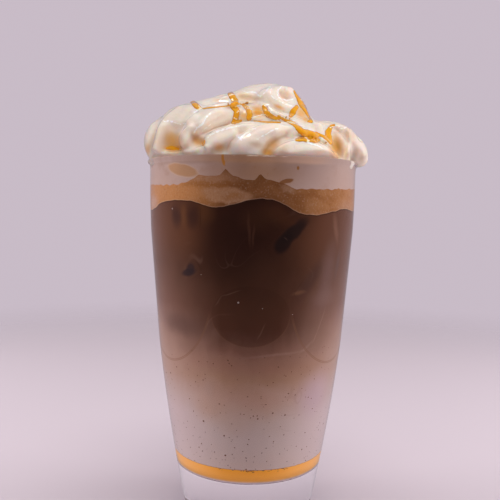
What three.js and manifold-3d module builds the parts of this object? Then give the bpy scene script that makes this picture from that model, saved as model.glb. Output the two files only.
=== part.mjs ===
// Caramel frappe: a tall flared glass with pressed panels, filled in layers and heaped with whipped cream.
// Millimetres, +Z up. The origin is the middle of the foot of the glass, and the front faces -Y.

import * as THREE from "three";
import { mergeVertices } from "three/addons/utils/BufferGeometryUtils.js";
import Module from "manifold-3d";

const wasm = await Module();
wasm.setup();

// The glass: its wall swells quickly above a narrow foot and stands nearly upright below the lip
const GLASS_HEIGHT = 148.4;
const FOOT_RADIUS = 26.2;
const FOOT_ROUNDING = 1.8;
const NECK_RADIUS = 42.35;
const NECK_HEIGHT = 138;
const SWELL_POWER = 1.76;
const WALL = 2.6;
const BASE_THICKNESS = 21.5;
const CORNER_RADIUS = 4;

// The lip bends outwards and ends in a rounded bead
const LIP_RADIUS = 43.4;
const LIP_FLARE = 1.3;
const BEAD_RADIUS = 1.2;
const BEAD_NECK = 145.8;

// Pressed panels like thumbprints: narrow and wide ovals by turns, half their width in degrees
const PANEL_PAIRS = 3;
const NARROW_PANEL = { halfWidth: 22.5, dip: 0.5, low: 78, high: 101 };
const WIDE_PANEL = { halfWidth: 37.5, dip: 0.6, low: 69, high: 125 };

// The layers. Each swell lifts or lowers a level at the wall: its angle from the front and its width
// in degrees, and its height in millimetres
const GAP = 0.3;
const CARAMEL_FLOOR = { level: BASE_THICKNESS + GAP / 2, swells: [] };
const CARAMEL_TOP = { level: 28.3, swells: [{ at: 0, width: 40, height: 0.3 }] };
const MILK_TOP = { level: 73, swells: [{ at: -30, width: 30, height: 2 }, { at: 150, width: 40, height: -2 }] };
const COFFEE_TOP = {
  level: 129,
  swells: [
    { at: -44, width: 15, height: 2.9 },
    { at: 5, width: 13, height: 3.9 },
    { at: 31, width: 10, height: -2.3 },
    { at: -85, width: 12, height: -1.2 },
    { at: 135, width: 26, height: 1.8 },
    { at: -140, width: 22, height: -1.4 },
  ],
};
const FOAM_TOP = {
  level: 137.2,
  swells: [
    { at: -19, width: 15, height: 4.6 },
    { at: 3, width: 5, height: 3 },
    { at: 12, width: 6, height: 1.4 },
    { at: 27, width: 8, height: -1 },
    { at: 150, width: 20, height: 1.6 },
    { at: -150, width: 18, height: 2.2 },
  ],
};

// The whipped cream: a low crown with soft folds piped over it. A fold is a chain of stations, each one
// [x, y, z, radius], from one end of the fold to the other
const CREAM_SHOULDER = 146;
const PLUG_TOP = { level: CREAM_SHOULDER, swells: [] };
const CROWN = { radius: 40, foot: 144, rise: 19, fullness: 0.9 };
const FOLDS = {
  leftBulge: [[-35, -4, 160, 6.4], [-37.5, -9, 156, 6.4], [-38, -12, 152, 5.2], [-37.5, -12, 149, 4]],
  leftPleat: [[-27.5, -14, 164.5, 4.8], [-32.5, -18, 161, 3.6], [-35.4, -21.5, 156, 2.7], [-37.4, -23.5, 148.5, 2.2]],
  leftDome: [[-27.5, -8, 159.5, 11.4], [-19.5, -8, 162.5, 10.8], [-10.5, -6, 167, 9.2]],
  leftWeb: [[-23, -15, 161, 8.6], [-27, -18.5, 155, 8.2], [-28.5, -19.5, 149, 7]],
  longFold: [[-7.5, -20, 166, 4], [-13.5, -25, 163.5, 5], [-19, -29, 159, 5.6], [-22.5, -31, 154.5, 5],
    [-22, -32, 150, 4]],
  longFoldTip: [[-22, -31, 151, 4], [-17, -34, 148.5, 3.2]],
  frontFold: [[20, -27, 155.5, 3.8], [12, -30.5, 156, 5.2], [3, -33, 155, 6], [-6.5, -34.5, 154.6, 5.6],
    [-13, -35.5, 153, 4.4]],
  frontHook: [[-9, -35.5, 153.5, 4.6], [-14.5, -36.5, 152.5, 3.4], [-15.5, -37, 148, 2.6]],
  frontBody: [[14, -32.5, 151, 4.8], [4, -35.5, 150.5, 5.4], [-8, -35.5, 149.5, 4.8]],
  frontLow: [[3, -37, 151.5, 4], [-2.5, -38, 150.5, 4.2], [-7, -38, 150.5, 3.2]],
  rightLow: [[12, -33.5, 148.5, 4.2], [19, -33, 149.2, 4.8], [25, -29.5, 148.5, 4.4], [29.5, -26, 147.5, 3.6]],
  topFold: [[-11.5, -4, 166.5, 8.2], [-4.5, -3, 169, 9], [3.5, -3, 171, 9.2], [10, -4, 171, 8.2],
    [14.5, -6, 167.5, 7.2]],
  topNose: [[6.5, -8, 173, 5], [11.5, -9, 174.5, 3.8], [13.5, -8, 175, 3.2]],
  topCurl: [[5.5, -12, 172, 4.6], [8.5, -14, 168, 4.4], [13.5, -13, 166, 4.4], [17.5, -11, 166, 4.2]],
  topCurlEnd: [[16, -12, 166, 4.2], [20, -9, 164, 3.6]],
  shelf: [[-6, -20, 163.5, 3.8], [3, -22, 162, 4.4], [13, -23, 160.5, 4.8], [22.5, -21, 158, 5]],
  heart: [[-12, -13, 161, 7], [4, -14, 162, 7.5], [18, -13, 159, 7]],
  rightFold: [[24.5, -7, 160, 4.8], [31, -8, 159.5, 5.2], [37, -9, 158, 5.4], [39, -10, 154.5, 4.6]],
  rightDroop: [[37.5, -10, 156, 4.6], [41.5, -9, 153, 4.2], [43, -8, 150, 3.8]],
  rightFront: [[27, -16, 158.5, 4.8], [31.5, -18.5, 155.5, 5], [34, -20, 152, 4.4], [35.8, -20.5, 147.5, 3.6]],
  backLeftRim: [[-37, 4, 151.5, 6], [-31, 18, 152, 6.6], [-22, 28, 151, 6]],
  backRim: [[-20, 27, 152, 6.4], [-4, 33, 153, 7], [12, 31, 152, 6.6], [22, 26, 151, 5.6]],
  backRightRim: [[24, 24, 152, 6], [33, 14, 153, 6.6], [38, 3, 152, 6]],
  backLeftFold: [[-30, 4, 160, 8], [-20, 15, 162, 8.5], [-8, 19, 163, 7.5]],
  backFold: [[-6, 12, 165, 9], [8, 13, 165, 9], [18, 6, 163, 8]],
  backRightFold: [[20, 12, 160, 7.5], [29, 4, 158.5, 6.8], [36, -3, 156, 5]],
};

// Thick caramel strings, as seen from the front: each station is [x, z, radius], and the string lies on
// the cream behind it, sunk by part of its radius
const STRING_SINK = 0.35;
const STRINGS = {
  leftDrop: [[-23.8, 169.5, 1.3], [-22, 168, 1.5], [-19.5, 166.8, 0.9], [-14, 166, 0.6]],
  crownDrop: [[-9, 174, 1.4], [-8, 171.5, 1.6], [-7, 169.8, 1.3]],
  leftFinger: [[-8, 167.4, 1.2], [-6.4, 165.4, 1.3], [-6.4, 163.2, 1.2], [-7, 160.6, 1.5]],
  rightFinger: [[-4, 168.6, 1], [-1.9, 167, 1.3], [-1.4, 164.8, 1.2], [-2, 163, 1.3]],
  loop: [[4, 168.6, 1.1], [5, 166, 1.3], [7.4, 163.8, 1.3], [10.5, 163.4, 1.1]],
  mainRun: [[9.9, 164, 1], [13.3, 161.6, 1.2], [16.7, 160, 1.3], [19, 157.8, 1.5], [21.5, 156.6, 1.4]],
  pool: [[15.8, 154.8, 1.2], [19, 155.8, 1.8], [22, 156, 1.8], [24.4, 154.8, 1.3]],
  link: [[22.7, 157.4, 1], [26, 156.4, 1.1], [28.6, 155.4, 1.2]],
  rightFoldDrop: [[32.4, 161.6, 1.1], [29, 158.6, 1.2], [29.3, 155.4, 1.4]],
  rightEdge: [[16.3, 174.4, 1], [18.6, 171.4, 1.3], [20.6, 168, 1.2], [21.6, 163.6, 0.9]],
  blob: [[16.8, 169, 1.1], [15.4, 166.8, 1.4]],
};

// How finely round shapes are divided
const SIDES = 48;
const LAYER_RING = 0.55;
const FOLD_SIDES = 10;
const FOLD_STEPS = 2;
const STRING_SIDES = 5;
const STRING_STEPS = 1;
const CAP_STEPS = 2;

const radians = THREE.MathUtils.degToRad;

// Radius of the outside of the wall without its panels, from the foot to the neck and straight on
function bodyRadius(z) {
  const below = Math.max(0, 1 - z / NECK_HEIGHT);
  return NECK_RADIUS - (NECK_RADIUS - FOOT_RADIUS) * below ** SWELL_POWER;
}

// Radius of the inside of the glass, with the rounded corner at its floor and the flare at its lip
function cavityRadius(z) {
  const lift = Math.max(0, z - NECK_HEIGHT) / (GLASS_HEIGHT - NECK_HEIGHT);
  const corner = Math.max(0, CORNER_RADIUS - (z - BASE_THICKNESS));
  const inset = CORNER_RADIUS - Math.sqrt(Math.max(0, CORNER_RADIUS ** 2 - corner ** 2));
  return bodyRadius(z) - WALL + LIP_FLARE * lift ** 2 - inset;
}

// Difference between two angles in degrees, without its sign
function angleBetween(a, b) {
  const turn = Math.abs(a - b) % 360;
  return Math.min(turn, 360 - turn);
}

// Angle of a point round the glass in degrees: 0 at the front, growing to the right
function angleOf(x, y) {
  return THREE.MathUtils.radToDeg(Math.atan2(x, -y));
}

// How far one oval panel is pressed in at a place on the wall
function dipOf(panel, centre, angle, z) {
  const across = angleBetween(angle, centre) / panel.halfWidth;
  const up = (2 * z - panel.low - panel.high) / (panel.high - panel.low);
  return panel.dip * Math.max(0, 1 - across ** 2 - up ** 2);
}

// How far the wall is pressed in: where two panels meet, the deeper one counts
function panelDip(angle, z) {
  let dip = 0;
  for (let pair = 0; pair < PANEL_PAIRS; pair += 1) {
    const centre = (360 / PANEL_PAIRS) * pair;
    const narrow = dipOf(NARROW_PANEL, centre, angle, z);
    const wide = dipOf(WIDE_PANEL, centre + 180 / PANEL_PAIRS, angle, z);
    dip = Math.max(dip, narrow, wide);
  }
  return dip;
}

// Height of a layer's top: swells at full size by the wall, dying away towards the axis
function surfaceHeight(top, angle, reach) {
  let rise = 0;
  for (const swell of top.swells) {
    rise += swell.height * Math.exp(-((angleBetween(angle, swell.at) / swell.width) ** 2));
  }
  return top.level + reach * rise;
}

// Evenly spaced numbers from one value to another, both included
function spaced(from, to, steps) {
  return Array.from({ length: steps + 1 }, (unused, i) => from + ((to - from) * i) / steps);
}

// A turned body about the vertical axis, from [radius, height] pairs
function turned(profile) {
  const points = profile.map(([radius, height]) => new THREE.Vector2(radius, height));
  const geometry = new THREE.LatheGeometry(points, SIDES);
  return geometry.rotateX(Math.PI / 2);
}

// The geometry with shared corners merged and collapsed triangles left out
function closed(geometry) {
  const bare = geometry.clone();
  bare.deleteAttribute("normal");
  bare.deleteAttribute("uv");
  const merged = mergeVertices(bare, 0.0001);
  const corners = merged.getIndex().array;
  const kept = [];
  for (let i = 0; i < corners.length; i += 3) {
    const [a, b, c] = [corners[i], corners[i + 1], corners[i + 2]];
    if (a !== b && b !== c && c !== a) {
      kept.push(a, b, c);
    }
  }
  merged.setIndex(kept);
  return merged;
}

// A geometry as a solid that can be joined and cut
function solid(geometry) {
  const shape = closed(geometry);
  return new wasm.Manifold(new wasm.Mesh({
    numProp: 3,
    vertProperties: new Float32Array(shape.getAttribute("position").array),
    triVerts: new Uint32Array(shape.getIndex().array),
  }));
}

// A joined solid as a geometry again
function geometryOf(manifold) {
  const mesh = manifold.getMesh();
  const geometry = new THREE.BufferGeometry();
  geometry.setAttribute("position", new THREE.BufferAttribute(mesh.vertProperties, 3));
  geometry.setIndex(new THREE.BufferAttribute(mesh.triVerts, 1));
  return geometry;
}

// Foot, wall and lip from the middle of the foot upwards
function outerProfile() {
  const foot = [[0, 0], [FOOT_RADIUS - FOOT_ROUNDING, 0], [FOOT_RADIUS - 0.3 * FOOT_ROUNDING, 0.3 * FOOT_ROUNDING]];
  const low = spaced(FOOT_ROUNDING, WIDE_PANEL.low - 3, 4);
  const panels = spaced(WIDE_PANEL.low, WIDE_PANEL.high, 8);
  const wall = [...low, ...panels, NECK_HEIGHT].map((z) => [bodyRadius(z), z]);
  const bead = spaced(-50, 90, 4).map((angle) => [
    LIP_RADIUS - BEAD_RADIUS + BEAD_RADIUS * Math.cos(radians(angle)),
    GLASS_HEIGHT - BEAD_RADIUS + BEAD_RADIUS * Math.sin(radians(angle)),
  ]);
  return [...foot, ...wall, [NECK_RADIUS + 0.2, BEAD_NECK], ...bead];
}

// Inside of the glass from the lip down to the middle of its floor
function innerProfile() {
  const lip = spaced(GLASS_HEIGHT - 0.6, NECK_HEIGHT + 3, 2);
  const wall = spaced(NECK_HEIGHT, BASE_THICKNESS + CORNER_RADIUS, 6);
  const corner = [0.5, 0.2, 0].map((share) => BASE_THICKNESS + CORNER_RADIUS * share);
  return [...lip, ...wall, ...corner].map((z) => [cavityRadius(z), z]).concat([[0, BASE_THICKNESS]]);
}

// The whole glass, its outside pressed in at the panels
function tumblerGeometry() {
  const outside = outerProfile();
  const profile = [...outside, ...innerProfile()];
  const geometry = turned(profile);
  const position = geometry.getAttribute("position");
  for (let i = 0; i < position.count; i += 1) {
    if (i % profile.length < outside.length) {
      const [x, y, z] = [position.getX(i), position.getY(i), position.getZ(i)];
      const radius = Math.hypot(x, y);
      const scale = radius > 0 ? 1 - panelDip(angleOf(x, y), z) / radius : 1;
      position.setXY(i, x * scale, y * scale);
    }
  }
  return geometry;
}

// Splits the four-sided faces of a drum's lid the way those of its floor are split, so that the lid of
// one layer and the floor of the next are the same surface
function matchLidToFloor(geometry, profileLength, lidStart) {
  const index = geometry.getIndex();
  for (let column = 0; column < SIDES; column += 1) {
    for (let row = lidStart; row < profileLength - 1; row += 1) {
      const a = column * profileLength + row;
      const b = a + profileLength;
      const start = 6 * (column * (profileLength - 1) + row);
      [a, b, b + 1, a, b + 1, a + 1].forEach((corner, i) => index.setX(start + i, corner));
    }
  }
}

// One layer of the drink between two levels, as a drum whose ends and side are moved to their places
function layerGeometry(bottom, top, sideSteps) {
  const side = spaced(0, 1, sideSteps).map((share) => [1, share]);
  const profile = [[0, 0], [LAYER_RING, 0], ...side, [LAYER_RING, 1], [0, 1]];
  const geometry = turned(profile);
  matchLidToFloor(geometry, profile.length, side.length + 1);
  const position = geometry.getAttribute("position");
  for (let i = 0; i < position.count; i += 1) {
    const [x, y, share] = [position.getX(i), position.getY(i), position.getZ(i)];
    const reach = Math.hypot(x, y);
    const angle = angleOf(x, y);
    const low = surfaceHeight(bottom, angle, reach) + GAP / 2;
    const high = surfaceHeight(top, angle, reach) - GAP / 2;
    const z = low + (high - low) * share;
    const radius = cavityRadius(z - GAP) - GAP;
    position.setXYZ(i, x * radius, y * radius, z);
  }
  return geometry;
}

// A tapered roll along a smooth path through its stations, with round ends
function foldGeometry(stations, sides, stepsPerSpan) {
  const path = new THREE.CatmullRomCurve3(stations.map(([x, y, z]) => new THREE.Vector3(x, y, z)));
  const spans = stations.length - 1;
  const girth = new THREE.SplineCurve(stations.map((station, i) => new THREE.Vector2(i, station[3])));
  const steps = spans * stepsPerSpan;
  const frames = path.computeFrenetFrames(steps);
  const rings = [];
  const addRing = (at, radius, forward) => {
    const centre = path.getPointAt(at / steps).addScaledVector(frames.tangents[at], forward);
    rings.push({ centre, radius, across: frames.normals[at], along: frames.binormals[at] });
  };
  const first = stations[0][3];
  const last = stations[spans][3];
  for (const angle of spaced(90, 90 / CAP_STEPS, CAP_STEPS - 1)) {
    addRing(0, first * Math.cos(radians(angle)), -first * Math.sin(radians(angle)));
  }
  for (let i = 0; i <= steps; i += 1) {
    addRing(i, girth.getPoint(path.getUtoTmapping(i / steps)).y, 0);
  }
  for (const angle of spaced(90 / CAP_STEPS, 90, CAP_STEPS - 1)) {
    addRing(steps, last * Math.cos(radians(angle)), last * Math.sin(radians(angle)));
  }
  const straight = rings.map((ring, i) => new THREE.Vector2(i === 0 || i === rings.length - 1 ? 0 : 1, i));
  const geometry = new THREE.LatheGeometry(straight, sides);
  const position = geometry.getAttribute("position");
  for (let i = 0; i < position.count; i += 1) {
    const ring = rings[Math.round(position.getY(i))];
    const place = ring.centre.clone();
    place.addScaledVector(ring.across, position.getX(i) * ring.radius);
    place.addScaledVector(ring.along, -position.getZ(i) * ring.radius);
    position.setXYZ(i, place.x, place.y, place.z);
  }
  return geometry;
}

// The part of the cream inside the glass, resting on the foam
function creamPlug() {
  return solid(layerGeometry(FOAM_TOP, PLUG_TOP, 3));
}

// A low crown over the rim that carries the folds
function creamCrown() {
  const arc = spaced(0, 90, 6).map((angle) => [
    CROWN.radius * Math.cos(radians(angle)) ** CROWN.fullness,
    CREAM_SHOULDER + CROWN.rise * Math.sin(radians(angle)) ** CROWN.fullness,
  ]);
  arc[arc.length - 1][0] = 0;
  return solid(turned([[0, CROWN.foot], [CROWN.radius - 1.5, CROWN.foot], ...arc]));
}

// Room for the lip of the glass, with the gap all round it
function lipRoom() {
  const inner = [NECK_HEIGHT, 141, 144, 146].map((z) => [cavityRadius(z) - 0.8 * GAP, z]);
  const top = GLASS_HEIGHT + GAP;
  const outside = LIP_RADIUS + GAP;
  const loop = [
    [outside, NECK_HEIGHT],
    [outside, top - 0.5],
    [outside - 0.8, top],
    [cavityRadius(GLASS_HEIGHT) - 0.8 * GAP, top],
    ...inner.reverse(),
    [outside, NECK_HEIGHT],
  ];
  return solid(turned(loop));
}

// Distance from the front at which the cream is met at a place seen from there
function creamDepth(cream, x, z) {
  const from = new THREE.Vector3(x, -2 * LIP_RADIUS, z);
  const ray = new THREE.Raycaster(from, new THREE.Vector3(0, 1, 0));
  return ray.intersectObject(cream)[0].point.y;
}

// One thick string of caramel lying on the cream
function stringGeometry(cream, stations) {
  const placed = stations.map(([x, z, radius]) => [x, creamDepth(cream, x, z) + STRING_SINK * radius, z, radius]);
  return foldGeometry(placed, STRING_SIDES, STRING_STEPS);
}

// The largest piece of a joined solid, with the pockets closed that its folds shut in
function withoutPockets(manifold) {
  const skins = manifold.decompose();
  return skins.reduce((largest, skin) => (skin.volume() > largest.volume() ? skin : largest));
}

// All of the cream with its caramel strings, as one body
function creamGeometry() {
  const folds = Object.values(FOLDS).map((stations) => solid(foldGeometry(stations, FOLD_SIDES, FOLD_STEPS)));
  const heap = folds.reduce((sum, fold) => sum.add(fold), creamPlug().add(creamCrown()));
  const cut = withoutPockets(heap.subtract(lipRoom()));
  const cream = new THREE.Mesh(geometryOf(cut));
  const strings = Object.values(STRINGS).map((stations) => solid(stringGeometry(cream, stations)));
  return geometryOf(withoutPockets(strings.reduce((sum, string) => sum.add(string), cut)));
}

// One plain finish
function finish(color, roughness) {
  return new THREE.MeshStandardMaterial({ color, roughness, metalness: 0 });
}

// A named sub-part in its finish
function part(name, geometry, material) {
  const mesh = new THREE.Mesh(closed(geometry), material);
  mesh.name = name;
  return mesh;
}

const group = new THREE.Group();
group.add(part("tumbler", tumblerGeometry(), finish(0xe9e4ee, 0.05)));
group.add(part("caramel_layer", layerGeometry(CARAMEL_FLOOR, CARAMEL_TOP, 3), finish(0xd7933a, 0.3)));
group.add(part("milk_layer", layerGeometry(CARAMEL_TOP, MILK_TOP, 3), finish(0xc3b2b6, 0.4)));
group.add(part("coffee_layer", layerGeometry(MILK_TOP, COFFEE_TOP, 4), finish(0x3c2319, 0.4)));
group.add(part("foam_layer", layerGeometry(COFFEE_TOP, FOAM_TOP, 2), finish(0xc08a5c, 0.6)));
group.add(part("whipped_cream", creamGeometry(), finish(0xefe2d6, 0.5)));

export default group;
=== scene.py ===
import math
import random

import bpy
import numpy as np
from mathutils import Matrix, Vector


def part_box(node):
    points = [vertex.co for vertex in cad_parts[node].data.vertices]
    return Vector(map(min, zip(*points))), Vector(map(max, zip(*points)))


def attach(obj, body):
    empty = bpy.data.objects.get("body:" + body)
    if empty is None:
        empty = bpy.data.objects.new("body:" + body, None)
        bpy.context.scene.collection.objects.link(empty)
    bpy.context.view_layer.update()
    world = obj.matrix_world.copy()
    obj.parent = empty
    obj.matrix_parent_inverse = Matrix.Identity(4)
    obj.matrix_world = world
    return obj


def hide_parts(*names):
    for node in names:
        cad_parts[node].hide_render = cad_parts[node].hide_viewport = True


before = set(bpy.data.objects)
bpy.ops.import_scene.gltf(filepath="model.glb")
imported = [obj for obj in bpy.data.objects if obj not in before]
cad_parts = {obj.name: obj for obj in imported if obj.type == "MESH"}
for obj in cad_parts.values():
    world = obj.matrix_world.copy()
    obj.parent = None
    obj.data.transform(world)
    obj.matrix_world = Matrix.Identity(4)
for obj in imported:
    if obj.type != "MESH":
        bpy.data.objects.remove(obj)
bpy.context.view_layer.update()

# Caramel frappe in a tall glass. Lengths are metres, written as millimetres times mm.
# The front of the drink faces -Y, and angles round the glass are in degrees from there, growing to the right.
mm = 0.001
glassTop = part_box("tumbler")[1].z

# how the photo was enlarged to list the folds and the caramel on it: pixels across, corner of the cut-out,
# times enlarged, and millimetres to a pixel there
photo = {"across": 500, "corner": (135, 78), "enlarged": 7, "pixel": 0.0536}


# working helpers

def deselectAll():
    if bpy.context.object and bpy.context.object.mode != "OBJECT":
        bpy.ops.object.mode_set(mode="OBJECT")
    bpy.ops.object.select_all(action="DESELECT")


def pick(piece):
    deselectAll()
    piece.select_set(True)
    bpy.context.view_layer.objects.active = piece


def modify(piece, name, kind, **settings):
    modifier = piece.modifiers.new(name, kind)
    for key, value in settings.items():
        setattr(modifier, key, value)


def applyModifiers(piece):
    pick(piece)
    for modifier in list(piece.modifiers):
        bpy.ops.object.modifier_apply(modifier=modifier.name)


def copyOf(piece):
    pick(piece)
    bpy.ops.object.duplicate()
    return bpy.context.object


def joinPieces(pieces, name):
    deselectAll()
    for piece in pieces:
        piece.select_set(True)
    bpy.context.view_layer.objects.active = pieces[0]
    bpy.ops.object.join()
    joined = bpy.context.object
    joined.name = name
    bpy.ops.object.transform_apply(location=True, rotation=True, scale=True)
    return joined


def smoothShade(piece, angle=180):
    pick(piece)
    if angle >= 180:
        bpy.ops.object.shade_smooth()
    else:
        bpy.ops.object.shade_smooth_by_angle(angle=math.radians(angle))


def turnProfile(name, profile, steps):
    # a single vertex is drawn out along the profile, then spun round the glass's axis
    deselectAll()
    bpy.ops.mesh.primitive_plane_add(size=mm, location=(0, 0, 0))
    piece = bpy.context.object
    piece.name = name
    bpy.ops.object.mode_set(mode="EDIT")
    bpy.ops.mesh.select_all(action="SELECT")
    bpy.ops.mesh.merge(type="CENTER")
    bpy.ops.transform.translate(value=(profile[0][0], 0, profile[0][1]))
    for (r0, z0), (r1, z1) in zip(profile, profile[1:]):
        bpy.ops.mesh.extrude_region_move(TRANSFORM_OT_translate={"value": (r1 - r0, 0, z1 - z0)})
    bpy.ops.mesh.select_all(action="SELECT")
    bpy.ops.mesh.spin(steps=steps, angle=math.tau, center=(0, 0, 0), axis=(0, 0, 1))
    bpy.ops.mesh.select_all(action="SELECT")
    bpy.ops.mesh.remove_doubles(threshold=0.002 * mm)
    bpy.ops.mesh.normals_make_consistent(inside=False)
    bpy.ops.object.mode_set(mode="OBJECT")
    return piece


def spaced(low, high, count):
    return [low + (high - low) * i / count for i in range(count + 1)]


def angleBetween(a, b):
    turn = abs(a - b) % 360
    return min(turn, 360 - turn)


def angleOf(x, y):
    return math.degrees(math.atan2(x, -y))


def sine(degrees):
    return math.sin(math.radians(degrees))


def cosine(degrees):
    return math.cos(math.radians(degrees))


def arc(centre, radius, first, last, steps):
    # a round edge of a profile
    x, z = centre
    return [(x + radius * cosine(a), z + radius * sine(a)) for a in spaced(first, last, steps)]


def roundGlass(turn, radius, height):
    # a place by degrees round from the front
    return (radius * sine(turn), -radius * cosine(turn), height)


def readPoints(piece, kind="co"):
    values = np.empty(len(piece.data.vertices) * 3)
    piece.data.vertices.foreach_get(kind, values)
    return values.reshape(-1, 3)


def movePoints(piece, points):
    piece.data.vertices.foreach_set("co", points.ravel())
    piece.data.update()


def storeValues(piece, name, values):
    layer = piece.data.attributes.new(name, "FLOAT", "POINT")
    layer.data.foreach_set("value", values)


# node helpers


class Nodes:
    # a node tree and the few shortcuts that the recipes use
    def __init__(self, tree):
        self.tree = tree

    def add(self, kind, **settings):
        node = self.tree.nodes.new(kind)
        for key, value in settings.items():
            setattr(node, key, value)
        return node

    def link(self, source, target):
        self.tree.links.new(source, target)

    def feed(self, target, value):
        # a socket is linked, a value is set, and a colour is written without its alpha
        if hasattr(value, "is_output"):
            self.link(value, target)
        else:
            target.default_value = (*value, 1) if target.type == "RGBA" else value

    def math(self, operation, a, b=0.0):
        node = self.add("ShaderNodeMath", operation=operation)
        self.feed(node.inputs[0], a)
        self.feed(node.inputs[1], b)
        return node.outputs[0]

    def plus(self, a, b):
        return self.math("ADD", a, b)

    def times(self, a, b):
        return self.math("MULTIPLY", a, b)

    def axes(self, vector):
        node = self.add("ShaderNodeSeparateXYZ")
        self.link(vector, node.inputs[0])
        return node.outputs

    def length(self, vector):
        node = self.add("ShaderNodeVectorMath", operation="LENGTH")
        self.link(vector, node.inputs[0])
        return node.outputs["Value"]

    def span(self, value, low, high, smooth=True):
        # 0 below low, 1 above high
        node = self.add("ShaderNodeMapRange", interpolation_type="SMOOTHSTEP" if smooth else "LINEAR")
        self.feed(node.inputs["Value"], value)
        node.inputs["From Min"].default_value = low
        node.inputs["From Max"].default_value = high
        return node.outputs["Result"]

    def mix(self, share, a, b):
        node = self.add("ShaderNodeMix", data_type="RGBA")
        for socket, value in ((0, share), (6, a), (7, b)):
            self.feed(node.inputs[socket], value)
        return node.outputs[2]

    def tint(self, colour, mask, strength, other):
        return self.mix(self.times(mask, strength), colour, other)


class Finish(Nodes):
    # one material
    def __init__(self, name):
        self.material = bpy.data.materials.new(name)
        self.material.use_nodes = True
        super().__init__(self.material.node_tree)
        self.shader = self.tree.nodes["Principled BSDF"]
        self.output = self.tree.nodes["Material Output"]
        self.place = self.add("ShaderNodeTexCoord").outputs["Object"]

    def noise(self, size, detail=3.0, distortion=0.0, stretch=(1, 1, 1), shift=(0, 0, 0)):
        # size is the rough width of one cloud in metres
        mapping = self.add("ShaderNodeMapping")
        self.link(self.place, mapping.inputs["Vector"])
        mapping.inputs["Location"].default_value = shift
        mapping.inputs["Scale"].default_value = stretch
        node = self.add("ShaderNodeTexNoise")
        self.link(mapping.outputs[0], node.inputs["Vector"])
        node.inputs["Scale"].default_value = 1 / size
        node.inputs["Detail"].default_value = detail
        node.inputs["Roughness"].default_value = 0.55
        node.inputs["Distortion"].default_value = distortion
        return node.outputs["Fac"]

    def drift(self, amount, *cloud, **settings):
        # a cloud that swings half of amount to each side
        return self.times(self.math("SUBTRACT", self.noise(*cloud, **settings), 0.5), amount)

    def heightRamp(self, height, stops):
        first, last = stops[0][0], stops[-1][0]
        node = self.add("ShaderNodeValToRGB")
        points = node.color_ramp.elements
        while len(points) < len(stops):
            points.new(1.0)
        for point, (level, colour) in zip(points, stops):
            point.position = (level - first) / (last - first)
            point.color = (*colour, 1)
        self.link(self.span(height, first, last, smooth=False), node.inputs["Fac"])
        return node.outputs["Color"]

    def wallMap(self, waver=0.0, size=6 * mm):
        # the wall rolled out flat: millimetres round from the front, millimetres up
        axes = self.axes(self.place)
        turn = self.math("ARCTAN2", axes["X"], self.times(axes["Y"], -1.0))
        flat = self.add("ShaderNodeCombineXYZ")
        for axis, value, shift in (("X", self.times(turn, wall["roll"] * 180 / math.pi), (0.4, 0, 0)),
                                   ("Y", self.times(axes["Z"], 1 / mm), (0, 0.7, 0))):
            if waver:
                value = self.plus(value, self.drift(waver, size, 2.0, shift=shift))
            self.link(value, flat.inputs[axis])
        return flat.outputs[0]

    def oval(self, flat, at, size, lean=0.0, soft=0.5):
        # 1 inside an oval on the wall: at is degrees and height, size its half lengths, lean in degrees
        place = self.add("ShaderNodeMapping", vector_type="TEXTURE")
        self.link(flat, place.inputs["Vector"])
        place.inputs["Location"].default_value = (at[0] * wall["roll"], at[1], 0)
        place.inputs["Rotation"].default_value = (0, 0, math.radians(lean))
        place.inputs["Scale"].default_value = (*size, 1)
        return self.span(self.length(place.outputs[0]), 1 + soft, max(0.0, 1 - soft))

    def sides(self, waver):
        # 0 at the front and back of the glass, 1 at its sides; the finishes use it to paint the sides
        # lighter, as painted side light
        axes = self.axes(self.place)
        level = self.add("ShaderNodeCombineXYZ")
        for axis in "XY":
            self.link(axes[axis], level.inputs[axis])
        across = self.math("DIVIDE", self.math("ABSOLUTE", axes["X"]), self.length(level.outputs[0]))
        across = self.plus(across, self.drift(waver * 2, *wall["fraying"]))
        return self.span(across, *wall["sides"], smooth=False)

    def shade(self, colour, flat, marks):
        # lays ovals of other colours over a colour, in turn
        for at, size, lean, soft, strength, other in marks:
            colour = self.tint(colour, self.oval(flat, at, size, lean, soft), strength, other)
        return colour

    def stored(self, name):
        return self.add("ShaderNodeAttribute", attribute_name=name).outputs["Fac"]

    def bump(self, height, strength, depth):
        node = self.add("ShaderNodeBump")
        node.inputs["Strength"].default_value = strength
        node.inputs["Distance"].default_value = depth
        self.link(height, node.inputs["Height"])
        self.link(node.outputs["Normal"], self.shader.inputs["Normal"])

    def set(self, **values):
        for key, value in values.items():
            self.feed(self.shader.inputs[key.replace("_", " ")], value)
        return self.material

    def matt(self, colour, roughness):
        return self.set(Base_Color=colour, Roughness=roughness, Specular_IOR_Level=0.0)


wall = {
    "roll": 0.7,      # millimetres of wall to a degree
    # its sides: from and to, as a share of the way round to the side, and the cloud that frays them
    "sides": (0.28, 0.92), "fraying": (12 * mm, 2.0, 0.0, (1, 1, 0.4)),
}


# glass

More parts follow.
